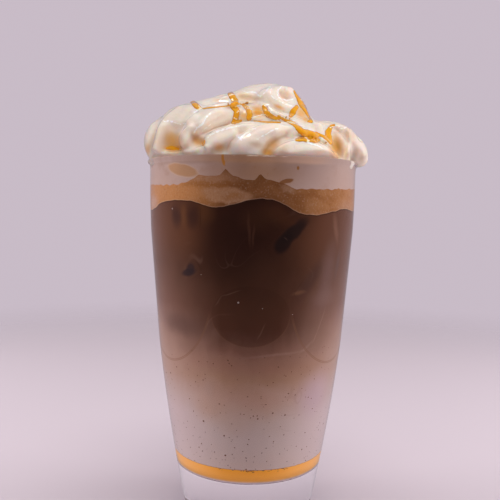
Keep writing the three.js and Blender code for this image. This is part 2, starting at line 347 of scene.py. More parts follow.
glass = {
    "foot": 26.2 * mm, "footRound": 1.8 * mm, "neck": 42.35 * mm, "neckHeight": 138 * mm, "swell": 1.76,
    "wall": 2.6 * mm, "base": 21.5 * mm, "corner": 4 * mm, "shoulder": 0.2 * mm, "plainFoot": 10 * mm,
    "lip": 43.4 * mm, "lipFlare": 1.3 * mm, "bead": 1.2 * mm, "beadNeck": 145.8 * mm,
    "narrow": (22.5, 0.5 * mm, 78 * mm, 101 * mm), "wide": (37.5, 0.6 * mm, 69 * mm, 125 * mm),
    "panelTurns": (0, 120, 240), "wideTurn": 60,
    # rows of the wall: the first and the number up to the neck, the ones over it outside and inside
    "firstRow": 4 * mm, "rows": 134, "neckRows": (141 * mm, 144 * mm), "sole": 0.6, "insideRows": 40,
    "insideNeckRows": (147.6 * mm, 146 * mm, 144 * mm, 141 * mm), "steps": 288,
    "colour": (0.985, 0.975, 0.985), "letsThrough": (0.96, 0.95, 0.96), "bending": 1.46,
}


def bodyRadius(z):
    below = max(0, 1 - z / glass["neckHeight"])
    return glass["neck"] - (glass["neck"] - glass["foot"]) * below ** glass["swell"]


def cavityRadius(z):
    lift = max(0, z - glass["neckHeight"]) / (glassTop - glass["neckHeight"])
    corner = max(0, glass["corner"] - max(0, z - glass["base"]))
    inset = glass["corner"] - math.sqrt(max(0, glass["corner"] ** 2 - corner ** 2))
    return bodyRadius(z) - glass["wall"] + glass["lipFlare"] * lift ** 2 - inset


def dipOf(panel, centre, angle, z):
    # an oval thumbprint, deepest in its middle, with a crease where it ends
    halfWidth, dip, low, high = panel
    across = angleBetween(angle, centre) / halfWidth
    up = (2 * z - low - high) / (high - low)
    return dip * max(0, 1 - across ** 2 - up ** 2)


def panelDip(angle, z):
    dips = [0]
    for centre in glass["panelTurns"]:
        dips += [dipOf(glass["narrow"], centre, angle, z),
                 dipOf(glass["wide"], centre + glass["wideTurn"], angle, z)]
    return max(dips)


def makeGlass():
    foot, lip = glass["foot"] - glass["footRound"], glass["lip"] - glass["bead"]
    outside = [(0, 0), (glass["sole"] * glass["foot"], 0)]
    outside += arc((foot, glass["footRound"]), glass["footRound"], -90, 0, 4)
    heights = spaced(glass["firstRow"], glass["neckHeight"], glass["rows"]) + list(glass["neckRows"])
    outside += [(bodyRadius(z), z) for z in heights]
    outside.append((glass["neck"] + glass["shoulder"], glass["beadNeck"]))
    outside += arc((lip, glassTop - glass["bead"]), glass["bead"], -60, 120, 9)
    heights = list(glass["insideNeckRows"])
    heights += spaced(glass["neckHeight"], glass["base"] + glass["corner"], glass["insideRows"])
    heights += [glass["base"] + glass["corner"] * (1 - sine(angle)) for angle in spaced(0, 90, 8)[1:]]
    inside = [(cavityRadius(z), z) for z in heights]
    piece = turnProfile("clearTumbler", outside + inside + [(0, glass["base"])], glass["steps"])
    for vertex in piece.data.vertices:
        x, y, z = vertex.co
        radius = math.hypot(x, y)
        outer = radius > bodyRadius(z) - 0.5 * glass["wall"]
        if outer and glass["plainFoot"] < z < glass["neckHeight"]:
            scale = 1 - panelDip(angleOf(x, y), z) / radius
            vertex.co = (x * scale, y * scale, z)
    smoothShade(piece, 50)
    return piece


def clearGlassFinish():
    finish = Finish("clearGlass")
    finish.set(Base_Color=glass["colour"], Roughness=0.0, IOR=glass["bending"], Transmission_Weight=1.0)
    # lamps reach the drink through the glass
    path = finish.add("ShaderNodeLightPath")
    through = finish.add("ShaderNodeBsdfTransparent")
    finish.feed(through.inputs["Color"], glass["letsThrough"])
    pickRay = finish.add("ShaderNodeMixShader")
    for i, source in enumerate((path.outputs["Is Shadow Ray"], finish.shader.outputs[0], through.outputs[0])):
        finish.link(source, pickRay.inputs[i])
    finish.link(pickRay.outputs[0], finish.output.inputs["Surface"])
    return finish.material


# layers of the drink

layers = {
    "intoWall": 0.15 * mm,      # how far the drink reaches into the glass, so that no air shows
    # level in the middle, then the height where it meets the glass, by degrees round from the front
    "caramelTop": (28.3 * mm, [(-60, 28.3), (0, 28.6), (60, 28.3), (180, 28.4)]),
    "milkTop": (73 * mm, [(-90, 73), (-30, 75), (30, 73.4), (150, 71), (180, 71.6)]),
    "coffeeTop": (129 * mm, [
        (-140, 127.9), (-100, 127.6), (-76, 127.7), (-67, 128.6), (-63, 129.8), (-58, 130.9), (-52, 131.5),
        (-45, 131.9), (-35, 131.8), (-29, 131), (-24, 129.8), (-19, 129.5), (-15, 129.8), (-9, 130.8),
        (-4, 131.9), (0, 132.6), (5, 132.9), (10, 132.6), (14, 131.7), (17.5, 130.7), (21, 129.1),
        (25, 127.9), (30, 127.3), (36, 127.2), (41, 127.6), (46, 128.3), (51, 128.7), (55, 129.3),
        (60, 129.6), (66, 129.2), (74, 128.5), (110, 129), (135, 130.6), (160, 129.4)]),
    "foamTop": (137.3 * mm, [
        (-150, 139.3), (-120, 138.3), (-74, 137.9), (-54, 137.5), (-42, 137.8), (-36, 138.7), (-32.5, 140),
        (-29.3, 141), (-24, 140.9), (-20, 140.9), (-17, 141.3), (-15.5, 142.1), (-14, 143.1),
        (-12.3, 142.2), (-10, 141.1), (-6, 140), (-2.4, 139.4), (0.8, 139.5), (2.2, 140.4), (3.6, 141.7),
        (5, 140.8), (6.5, 140), (10.5, 139.2), (14.5, 138.9), (17, 138.1), (20, 137.1), (23, 136.6),
        (31, 136.7), (45, 136.8), (51, 136.9), (52.5, 137.6), (54, 137), (75, 137.4), (120, 138.2),
        (150, 138.8)]),
    "plugTop": (148 * mm, []),
    "floor": (21.5 * mm, []),
    "rings": (0.5, 0.85), "steps": 360,
    # ragged edges: sizes and seeds, number of waves, ripples round the glass, how close to the wall they keep
    "ragged": {"caramelTop": (0.06 * mm, 3), "coffeeTop": (0.12 * mm, 5), "foamTop": (0.35 * mm, 7)},
    "waves": 12, "ripples": (18, 90), "closeness": 8,
}


def surfaceHeight(layer, angle, reach):
    level, edge = layers[layer]
    if not edge:
        return level
    turns, heights = zip(*edge)
    height = level + reach * (np.interp(angle, turns, heights, period=360) * mm - level)
    return height + reach ** layers["closeness"] * raggedEdge(layer, angle)


def raggedEdge(layer, angle):
    size, seed = layers["ragged"].get(layer, (0, 1))
    rng = random.Random(seed)
    rise = 0
    for _ in range(layers["waves"]):
        count, phase, share = rng.randint(*layers["ripples"]), rng.uniform(0, math.tau), rng.uniform(0.3, 1)
        rise += share * math.sin(count * math.radians(angle) + phase)
    return size * rise / 4


def makeLayer(name, bottom, top, rows):
    # a drum of unit size; its ends and side are then moved to the levels and out to the glass
    inner, outer = layers["rings"]
    side = [(1, share) for share in spaced(0, 1, rows)]
    piece = turnProfile(name, [(0, 0), (inner, 0), (outer, 0)] + side + [(outer, 1), (inner, 1), (0, 1)],
                        layers["steps"])
    overBottom, underTop = [], []
    for vertex in piece.data.vertices:
        x, y, share = vertex.co
        low, high = (surfaceHeight(end, angleOf(x, y), math.hypot(x, y)) for end in (bottom, top))
        z = low + (high - low) * share
        radius = cavityRadius(z) + layers["intoWall"]
        vertex.co = (x * radius, y * radius, z)
        overBottom.append((z - low) / mm)
        underTop.append((high - z) / mm)
    storeValues(piece, "overBottom", overBottom)
    storeValues(piece, "underTop", underTop)
    smoothShade(piece, 40)
    return piece


caramelSauce = {
    # millimetres over the floor of the glass, and the colour there; the pale band half a millimetre up is a
    # painted line of light
    "tints": [(0, (0.30, 0.19, 0.10)), (0.25, (0.36, 0.22, 0.12)), (0.5, (1.0, 0.84, 0.66)),
              (1.1, (0.97, 0.60, 0.30)), (2.4, (0.96, 0.44, 0.09)), (6.8, (0.93, 0.39, 0.05))],
    # side is a lighter tint laid on the sides of the pool: painted side light
    "side": (0.92, 0.52, 0.20), "sideLightShare": 0.6, "rim": (0.40, 0.25, 0.16), "rimDepth": (0.25, 0.08),
    "under": (0.84, 0.76, 0.84), "facingDown": (-0.6, -0.9),
    "roughness": 0.4, "fraying": 0.05,
}


def caramelSauceFinish():
    finish = Finish("caramelSauce")
    sauce = finish.heightRamp(finish.stored("overBottom"), caramelSauce["tints"])
    # lighter at the sides: painted side light
    sides = finish.sides(caramelSauce["fraying"])
    sauce = finish.tint(sauce, sides, caramelSauce["sideLightShare"], caramelSauce["side"])
    rim = finish.span(finish.stored("underTop"), *caramelSauce["rimDepth"])
    sauce = finish.mix(rim, sauce, caramelSauce["rim"])
    # its underside is painted pale: painted light, standing for the light seen in the thick base
    facing = finish.axes(finish.add("ShaderNodeNewGeometry").outputs["Normal"])["Z"]
    sauce = finish.mix(finish.span(facing, *caramelSauce["facingDown"]), sauce, caramelSauce["under"])
    return finish.matt(sauce, caramelSauce["roughness"])


latte = {
    # height in millimetres and the colour there, at the front and back, and at the sides, which are painted
    # lighter: painted side light
    "core": [
        (28, (0.72, 0.605, 0.55)), (41, (0.66, 0.55, 0.505)), (49, (0.62, 0.5, 0.44)),
        (57, (0.57, 0.395, 0.32)), (65, (0.445, 0.272, 0.18)), (69.5, (0.384, 0.212, 0.146)),
        (73, (0.33, 0.18, 0.125)), (76, (0.246, 0.125, 0.087)), (80, (0.18, 0.088, 0.06)),
        (84, (0.126, 0.058, 0.038)), (88, (0.1, 0.042, 0.025)), (96, (0.09, 0.038, 0.022)),
        (107, (0.06, 0.025, 0.015)), (121, (0.045, 0.017, 0.01)), (131, (0.04, 0.015, 0.009)),
    ],
    "side": [
        (28, (0.62, 0.52, 0.52)), (49, (0.59, 0.48, 0.48)), (57, (0.53, 0.41, 0.38)),
        (65, (0.475, 0.326, 0.266)), (73, (0.44, 0.29, 0.23)), (80, (0.385, 0.24, 0.185)),
        (88, (0.29, 0.165, 0.125)), (94, (0.215, 0.11, 0.078)), (109, (0.15, 0.07, 0.044)),
        (121, (0.155, 0.066, 0.038)), (131, (0.14, 0.058, 0.032)),
    ],
    # clouds that swing the height: how far, then size, detail, distortion, stretch and shift
    "billow": (6.0, 24 * mm, 3.0, 0.6, (1, 1, 1.5)),
    "wisp": (3.5, 8 * mm, 3.0, 1.4, (1, 1, 0.5), (0.3, 0.1, 0.7)),
    # thin paler swirls, only in patches
    "swirl": (1.0, 19 * mm, 1.0, 0.8, (1, 1, 0.8), (0.9, 0.2, 0.4)), "swirlWidth": 0.012, "swirlShare": 0.2,
    "swirlPatch": (14 * mm, 1.0, 0.0, (1, 1, 1), (0.2, 0.9, 0.6)), "patchSpan": (0.5, 0.7),
    "swirlColour": (0.30, 0.17, 0.13), "waver": 1.6, "fraying": 0.12, "roughness": 0.6,
    # place (degrees, height), half size in millimetres, lean, softness, strength, colour
    "marks": [
        ((-3, 118), (15, 13), 0, 0.8, 0.7, (0.034, 0.013, 0.009)),
        ((-42, 120), (9, 8), 0, 0.8, 0.5, (0.15, 0.06, 0.028)),
        ((40, 117), (14, 10), 10, 0.8, 0.5, (0.13, 0.054, 0.028)),
        ((14, 127), (6, 3.0), -24, 0.7, 0.6, (0.08, 0.03, 0.014)),
        ((-27, 128), (4, 4), 0, 0.8, 0.7, (0.11, 0.044, 0.018)),
        ((-38.5, 126), (1.4, 4), 0, 0.7, 0.5, (0.165, 0.068, 0.028)),
        ((3, 125.5), (5.5, 4), 0, 0.8, 0.5, (0.066, 0.026, 0.013)),
        ((8, 105), (7, 8), 0, 0.9, 0.5, (0.085, 0.036, 0.021)),
        ((-44.6, 125.9), (2.2, 3.8), 4, 0.7, 0.75, (0.055, 0.025, 0.02)),
        ((-32.5, 126.1), (2.7, 4.0), -6, 0.7, 0.75, (0.045, 0.02, 0.016)),
        ((-46, 84.5), (11, 3.6), 0, 0.8, 0.6, (0.135, 0.072, 0.057)),
        ((34, 102.5), (2.2, 7.5), -38, 0.8, 0.6, (0.08, 0.04, 0.03)),
        # the pale greyish marks at about 47 and 57 degrees are a painted reflection on the right of the glass
        ((47, 105), (3.5, 9), -8, 0.9, 0.55, (0.2, 0.12, 0.105)),
        ((57, 108), (1.3, 5), -12, 0.8, 0.5, (0.135, 0.085, 0.075)),
        ((52, 122), (1.2, 5), 16, 0.8, 0.45, (0.25, 0.13, 0.085)),
        ((27, 98.2), (2.6, 0.7), 8, 0.7, 0.6, (0.19, 0.09, 0.05)),
        # a painted reflection on the right of the glass, lower down
        ((46, 95), (6, 4), 10, 0.9, 0.4, (0.26, 0.165, 0.145)),
        ((-1.6, 121.5), (0.5, 5.0), 4, 0.7, 0.5, (0.11, 0.045, 0.026)),
        ((0.6, 119.5), (0.4, 3.4), -4, 0.7, 0.5, (0.11, 0.045, 0.026)),
        ((-26, 53), (7, 4.5), 0, 0.9, 0.55, (0.58, 0.38, 0.28)),
        ((2, 56.5), (12, 5), -8, 0.9, 0.45, (0.55, 0.34, 0.24)),
        ((30, 68.4), (12, 3.0), 10, 0.9, 0.5, (0.4, 0.235, 0.155)),
        ((-9, 49), (7, 5), 0, 0.9, 0.4, (0.6, 0.42, 0.33)),
        ((48, 57), (8, 7), 0, 0.9, 0.6, (0.56, 0.42, 0.48)),
        ((43, 82), (7, 6), 0, 0.9, 0.45, (0.25, 0.145, 0.105)),
        ((27, 73), (7, 3.5), 6, 0.9, 0.4, (0.3, 0.17, 0.12)),
        ((45.1, 86), (4.8, 0.25), 68, 0.6, 0.4, (0.36, 0.23, 0.18)),
        ((41.2, 80), (2.2, 0.25), 58, 0.6, 0.35, (0.4, 0.26, 0.2)),
        ((16, 75), (11, 0.5), 4, 0.9, 0.22, (0.5, 0.35, 0.28)),
        ((35, 77), (3.4, 0.5), 36, 0.9, 0.22, (0.46, 0.32, 0.26)),
        ((-18.2, 95.3), (2.4, 0.22), 52, 0.5, 0.3, (0.2, 0.115, 0.085)),
        ((-11, 98.2), (3.6, 0.22), 16, 0.5, 0.35, (0.2, 0.115, 0.085)),
        ((6, 84), (3.2, 0.25), 60, 0.5, 0.3, (0.24, 0.14, 0.1)),
        # the sunk ice
        ((16.8, 116.8), (4.2, 2.8), 56, 0.3, 0.9, (0.021, 0.012, 0.011)),
        ((21.8, 120.8), (5.4, 2.5), 36, 0.3, 0.9, (0.021, 0.012, 0.011)),
        ((26.5, 124.0), (3.2, 1.9), 30, 0.6, 0.75, (0.026, 0.014, 0.012)),
        ((17.6, 118.4), (0.9, 0.2), -40, 0.6, 0.5, (0.1, 0.05, 0.035)),
        ((-36.4, 105.0), (3.4, 1.4), 14, 0.4, 0.85, (0.036, 0.023, 0.026)),
        ((-35.2, 106.6), (2.0, 1.7), 60, 0.4, 0.75, (0.036, 0.023, 0.026)),
    ],
    # the pressed panels: where the first stands, how far each shifts the drink, and how strong its edge is
    "facets": {"narrow": (0, 3.4, 0.55), "wide": (glass["wideTurn"], 1.2, 1.1)},
    "edgeLine": (0.25, 0.125, 0.07), "edgeHeights": (92, 84), "edgeSoftness": (0.012, 0.022), "edgeGain": 3.0,
    "seam": 120,
    "underFoam": (0.03, 0.012, 0.008), "underFoamDepth": (0.7, 0.1), "underFoamShare": 0.6,
}


def facetShift(finish, height):
    # each pressed oval shows the drink from a little higher up, and its crease as a thin line
    flat = finish.wallMap()
    inner, outer = latte["edgeSoftness"]
    creases = 0.0
    for kind, (first, shift, crease) in latte["facets"].items():
        halfWidth, _, low, high = glass[kind]
        size = (halfWidth * wall["roll"], (high - low) / 2 / mm)
        for turn in glass["panelTurns"]:
            centre = (first + turn + 180) % 360 - 180
            # one near the back is also drawn beyond the seam of the rolled out wall
            beyond = [centre - math.copysign(360, centre)] if abs(centre) >= latte["seam"] else []
            for place in [centre] + beyond:
                at = (place, (low + high) / 2 / mm)
                inside = finish.oval(flat, at, size, 0, inner)
                ring = finish.math("SUBTRACT", finish.oval(flat, at, size, 0, outer), inside)
                height = finish.plus(height, finish.times(inside, shift))
                line = finish.times(finish.math("ABSOLUTE", ring), latte["edgeGain"] * crease)
                creases = finish.math("MAXIMUM", creases, line)
    return height, creases


def latteColour(finish):
    # milk below and coffee above, clouded into each other, with the darker shapes of the sunk ice
    level = finish.times(finish.axes(finish.place)["Z"], 1 / mm)
    height = finish.plus(level, finish.drift(*latte["billow"]))
    height, creases = facetShift(finish, finish.plus(height, finish.drift(*latte["wisp"])))
    core, side = finish.heightRamp(height, latte["core"]), finish.heightRamp(height, latte["side"])
    # the sides take the lighter colours: painted side light
    colour = finish.mix(finish.sides(latte["fraying"]), core, side)
    swirl = finish.span(finish.math("ABSOLUTE", finish.drift(*latte["swirl"])), latte["swirlWidth"], 0.0)
    patch = finish.span(finish.noise(*latte["swirlPatch"]), *latte["patchSpan"])
    colour = finish.tint(colour, finish.times(swirl, patch), latte["swirlShare"], latte["swirlColour"])
    colour = finish.shade(colour, finish.wallMap(latte["waver"]), latte["marks"])
    return finish.tint(colour, finish.span(level, *latte["edgeHeights"]), creases, latte["edgeLine"])


def latteFinish(name):
    finish = Finish(name)
    colour = latteColour(finish)
    if name == "icedCoffee":
        line = finish.span(finish.stored("underTop"), *latte["underFoamDepth"])
        colour = finish.tint(colour, line, latte["underFoamShare"], latte["underFoam"])
    return finish.matt(colour, latte["roughness"])


foamLook = {
    # core is the colour at the front and back, side at the sides, which are painted lighter: painted side
    # light
    "core": (0.210, 0.084, 0.028), "coreLight": (0.270, 0.118, 0.046),
    "side": (0.375, 0.165, 0.055), "sideLight": (0.450, 0.220, 0.090),
    "cream": (0.52, 0.38, 0.29), "dark": (0.20, 0.080, 0.032), "roughness": 0.7,
    "cloud": (8 * mm, 4.0, 0.5, (1, 1, 1.4)), "cloudSpan": (0.35, 0.68), "grain": (0.7 * mm, 2.0),
    "waver": (3.0, 4 * mm), "fraying": 0.05,
    # pale and dark grains, and a pale line where it floats on the coffee: from, to, strength, colour
    "paleGrain": (0.52, 0.75, 0.25, "cream"), "darkGrain": (0.45, 0.25, 0.35, "dark"),
    "foot": (0.5, 0.1, 0.3, "cream"),
    "marks": [
        ((-50, 134.5), (18, 7), 0, 0.7, 0.85, (0.52, 0.245, 0.09)),
        ((-24, 140.4), (8, 2.0), 0, 0.5, 0.8, (0.42, 0.225, 0.12)),
        ((-12, 140.6), (4.5, 2.0), -14, 0.5, 0.6, (0.34, 0.17, 0.085)),
        ((-22, 138.0), (10, 0.9), -1, 0.6, 0.7, (0.33, 0.14, 0.044)),
        ((-4, 136.6), (7, 0.8), -12, 0.6, 0.6, (0.25, 0.1, 0.034)),
        ((-14, 134.0), (9.3, 3.0), -5, 0.22, 0.85, (0.44, 0.24, 0.124)),
        ((-10, 133.6), (3.4, 0.9), 8, 0.7, 0.6, (0.34, 0.14, 0.046)),
        ((-70, 130.5), (4.5, 3), 0, 0.6, 0.7, (0.52, 0.34, 0.26)),
        ((18, 136.6), (2.6, 1.4), -20, 0.6, 0.6, (0.38, 0.22, 0.13)),
        ((62, 130.2), (6, 2.0), 0, 0.7, 0.4, (0.44, 0.26, 0.17)),
    ],
}


def coffeeFoamFinish():
    finish = Finish("coffeeFoam")
    cloud = finish.span(finish.noise(*foamLook["cloud"]), *foamLook["cloudSpan"])
    grain = finish.noise(*foamLook["grain"])
    core = finish.mix(cloud, foamLook["core"], foamLook["coreLight"])
    side = finish.mix(cloud, foamLook["side"], foamLook["sideLight"])
    # lighter at the sides: painted side light
    tan = finish.mix(finish.sides(foamLook["fraying"]), core, side)
    tan = finish.shade(tan, finish.wallMap(*foamLook["waver"]), foamLook["marks"])
    for key, value in (("paleGrain", grain), ("darkGrain", grain), ("foot", finish.stored("overBottom"))):
        low, high, strength, colour = foamLook[key]
        tan = finish.tint(tan, finish.span(value, low, high), strength, foamLook[colour])
    return finish.matt(tan, foamLook["roughness"])


sunkCream = {
    "pale": (0.47, 0.335, 0.275), "lilac": (0.52, 0.40, 0.36), "tan": (0.33, 0.18, 0.11), "roughness": 0.7,
    "cloud": (11 * mm, 3.0), "waver": (0.8, 3 * mm),
    "haze": (7 * mm, 3.0, 0.0, (1, 1, 1), (0.5, 0.5, 0)), "hazeSpan": (0.5, 0.75), "hazeShare": 0.3,
    "speck": (0.8 * mm, 1.0), "speckSpan": (0.66, 0.74), "speckShare": 0.6, "speckColour": (0.40, 0.18, 0.06),
    "speckPlace": ((0, 142), (12, 5), 0, 0.8),
    "marks": [
        # browner at the front middle: partly foam showing through the cream, partly painted shade
        ((2, 142.5), (13, 5), 0, 0.9, 0.75, (0.44, 0.25, 0.13)),
        ((-18, 143), (6, 2.5), 0, 0.9, 0.5, (0.46, 0.3, 0.22)),
        ((-2, 147), (18, 1.2), 0, 0.8, 0.7, (0.56, 0.32, 0.16)),
        ((26, 147.2), (9, 1.1), 0, 0.8, 0.8, (0.74, 0.51, 0.37)),
        # a darker band just under the lip on the left: painted shadow of the rim
        ((-42, 146.2), (14, 0.9), 0, 0.7, 0.5, (0.36, 0.24, 0.19)),
        ((-40, 143.1), (7.9, 2.6), -11, 0.1, 0.8, (0.56, 0.41, 0.31)),
        ((-40, 143.1), (7.4, 2.2), -11, 0.15, 0.95, (0.47, 0.275, 0.15)),
        ((17.3, 139.0), (3.0, 1.1), 12, 0.15, 0.6, (0.48, 0.33, 0.24)),
        ((17.4, 139.3), (2.7, 0.8), 12, 0.2, 0.95, (0.26, 0.11, 0.042)),
        ((-15.0, 146.4), (0.55, 1.9), 14, 0.3, 0.95, (0.56, 0.24, 0.045)),
        ((23.4, 144.2), (0.5, 0.7), 0, 0.3, 0.9, (0.36, 0.15, 0.03)),
    ],
}


def sunkCreamFinish():
    # the cream as it shows through the glass, with foam and syrup caught in it
    finish = Finish("creamInGlass")
    colour = finish.mix(finish.noise(*sunkCream["cloud"]), sunkCream["pale"], sunkCream["lilac"])
    haze = finish.span(finish.noise(*sunkCream["haze"]), *sunkCream["hazeSpan"])
    colour = finish.tint(colour, haze, sunkCream["hazeShare"], sunkCream["tan"])
    colour = finish.shade(colour, finish.wallMap(*sunkCream["waver"]), sunkCream["marks"])
    speckle = finish.times(finish.span(finish.noise(*sunkCream["speck"]), *sunkCream["speckSpan"]),
                           finish.oval(finish.wallMap(), *sunkCream["speckPlace"]))
    colour = finish.tint(colour, speckle, sunkCream["speckShare"], sunkCream["speckColour"])
    return finish.matt(colour, sunkCream["roughness"])


ice = {
    # place (degrees, height), half size along, up and inward, lean
    "blocks": [((19.5, 119.2), (9.4, 3.3, 6), 42), ((-35.6, 105.6), (5, 2.9, 5), 33),
               ((-44.6, 125.9), (2.6, 4.2, 5), 0), ((-32.5, 126.1), (3.2, 4.4, 5), 0),
               ((34, 102.5), (2.8, 8, 5), -38)],
    "sunk": 0.4, "proud": 0.06 * mm, "rounding": 1.2 * mm, "bevelSteps": 4, "refining": 3,
}


def makeIce():
    # rounded blocks, melted to the curve of the glass where they lean on it
    blocks = []
    for (turn, height), (along, up, inward), lean in ice["blocks"]:
        radius = cavityRadius(height * mm) - ice["sunk"] * inward * mm
        deselectAll()
        bpy.ops.mesh.primitive_cube_add(size=2, location=roundGlass(turn, radius, height * mm),
                                        rotation=(0, math.radians(-lean), math.radians(turn)))
        block = bpy.context.object
        block.scale = (along * mm, inward * mm, up * mm)
        bpy.ops.object.transform_apply(location=False, rotation=False, scale=True)
        modify(block, "melted", "BEVEL", width=ice["rounding"], segments=ice["bevelSteps"])
        modify(block, "refine", "SUBSURF", levels=ice["refining"], render_levels=ice["refining"],
               subdivision_type="SIMPLE")
        applyModifiers(block)
        bpy.ops.object.transform_apply(location=True, rotation=True, scale=True)
        for vertex in block.data.vertices:
            x, y, z = vertex.co
            most = cavityRadius(z) + layers["intoWall"] + ice["proud"]
            reach = math.hypot(x, y)
            if reach > most:
                vertex.co = (x * most / reach, y * most / reach, z)
        blocks.append(block)
    piece = joinPieces(blocks, "sunkIce")
    smoothShade(piece, 60)
    return piece


vanilla = {
    "count": 600, "low": 28.6, "high": 76, "crowding": 1.25, "seed": 11,
    "size": (0.11, 0.25), "large": 1.5, "largeShare": 0.08, "stretch": (0.8, 1.5), "flatness": 0.6,
    # on the caramel: its height, how far they hang below it, then degrees, spread and number of each crowd
    "sauceTop": 28.35, "hang": 0.9,
    "onSauce": [(0, 5, 22), (25, 5, 14), (-21, 1.5, 5), (12, 3, 5), (120, 40, 20), (-130, 40, 20)],
    "dark": (0.09, 0.032, 0.014), "light": (0.24, 0.095, 0.042), "cloud": (2 * mm,), "roughness": 0.5,
}


def makeVanilla():
    # seeds and crumbs of pod against the glass, more of them low down
    rng = random.Random(vanilla["seed"])
    deselectAll()
    bpy.ops.mesh.primitive_ico_sphere_add(subdivisions=1, radius=mm, location=(0, 0, 0))
    seed = bpy.context.object
    seeds = []
    places = []
    for _ in range(vanilla["count"]):
        share = rng.random() ** vanilla["crowding"]
        places.append((rng.uniform(-180, 180), vanilla["low"] + (vanilla["high"] - vanilla["low"]) * share))
    for turn, spread, number in vanilla["onSauce"]:
        places += [(turn + rng.gauss(0, spread), vanilla["sauceTop"] - vanilla["hang"] * rng.random() ** 2)
                   for _ in range(number)]
    for turn, level in places:
        size = rng.uniform(*vanilla["size"])
        size *= vanilla["large"] if rng.random() < vanilla["largeShare"] else 1
        speck = seed.copy()
        speck.data = seed.data.copy()
        bpy.context.collection.objects.link(speck)
        speck.location = roundGlass(turn, cavityRadius(level * mm) + layers["intoWall"], level * mm)
        speck.rotation_euler = (0, rng.uniform(-1, 1), math.radians(turn))
        speck.scale = (size * rng.uniform(*vanilla["stretch"]), size * vanilla["flatness"], size)
        seeds.append(speck)
    bpy.data.objects.remove(seed)
    piece = joinPieces(seeds, "vanillaSeeds")
    smoothShade(piece)
    return piece


def vanillaFinish():
    finish = Finish("vanillaSeed")
    colour = finish.mix(finish.noise(*vanilla["cloud"]), vanilla["dark"], vanilla["light"])
    return finish.set(Base_Color=colour, Roughness=vanilla["roughness"])


bubbles = {
    # degrees, height and radius
    "places": [(-6.9, 94.9, 0.35), (6.5, 92.8, 0.16), (-28, 104.6, 0.14), (-47.5, 128.6, 0.3),
               (24, 90.3, 0.14)],
    "colour": (0.55, 0.45, 0.42), "roughness": 0.1,
}


def makeBubbles():
    beads = []
    for turn, height, size in bubbles["places"]:
        place = roundGlass(turn, cavityRadius(height * mm) + layers["intoWall"], height * mm)
        deselectAll()
        bpy.ops.mesh.primitive_uv_sphere_add(segments=20, ring_count=12, radius=size * mm, location=place)
        beads.append(bpy.context.object)
    piece = joinPieces(beads, "airBubbles")
    smoothShade(piece)
    return piece


def bubbleFinish():
    return Finish("airBubble").set(Base_Color=bubbles["colour"], Roughness=bubbles["roughness"])


# whipped cream: each fold is a row of stations, x, y, z and radius in millimetres

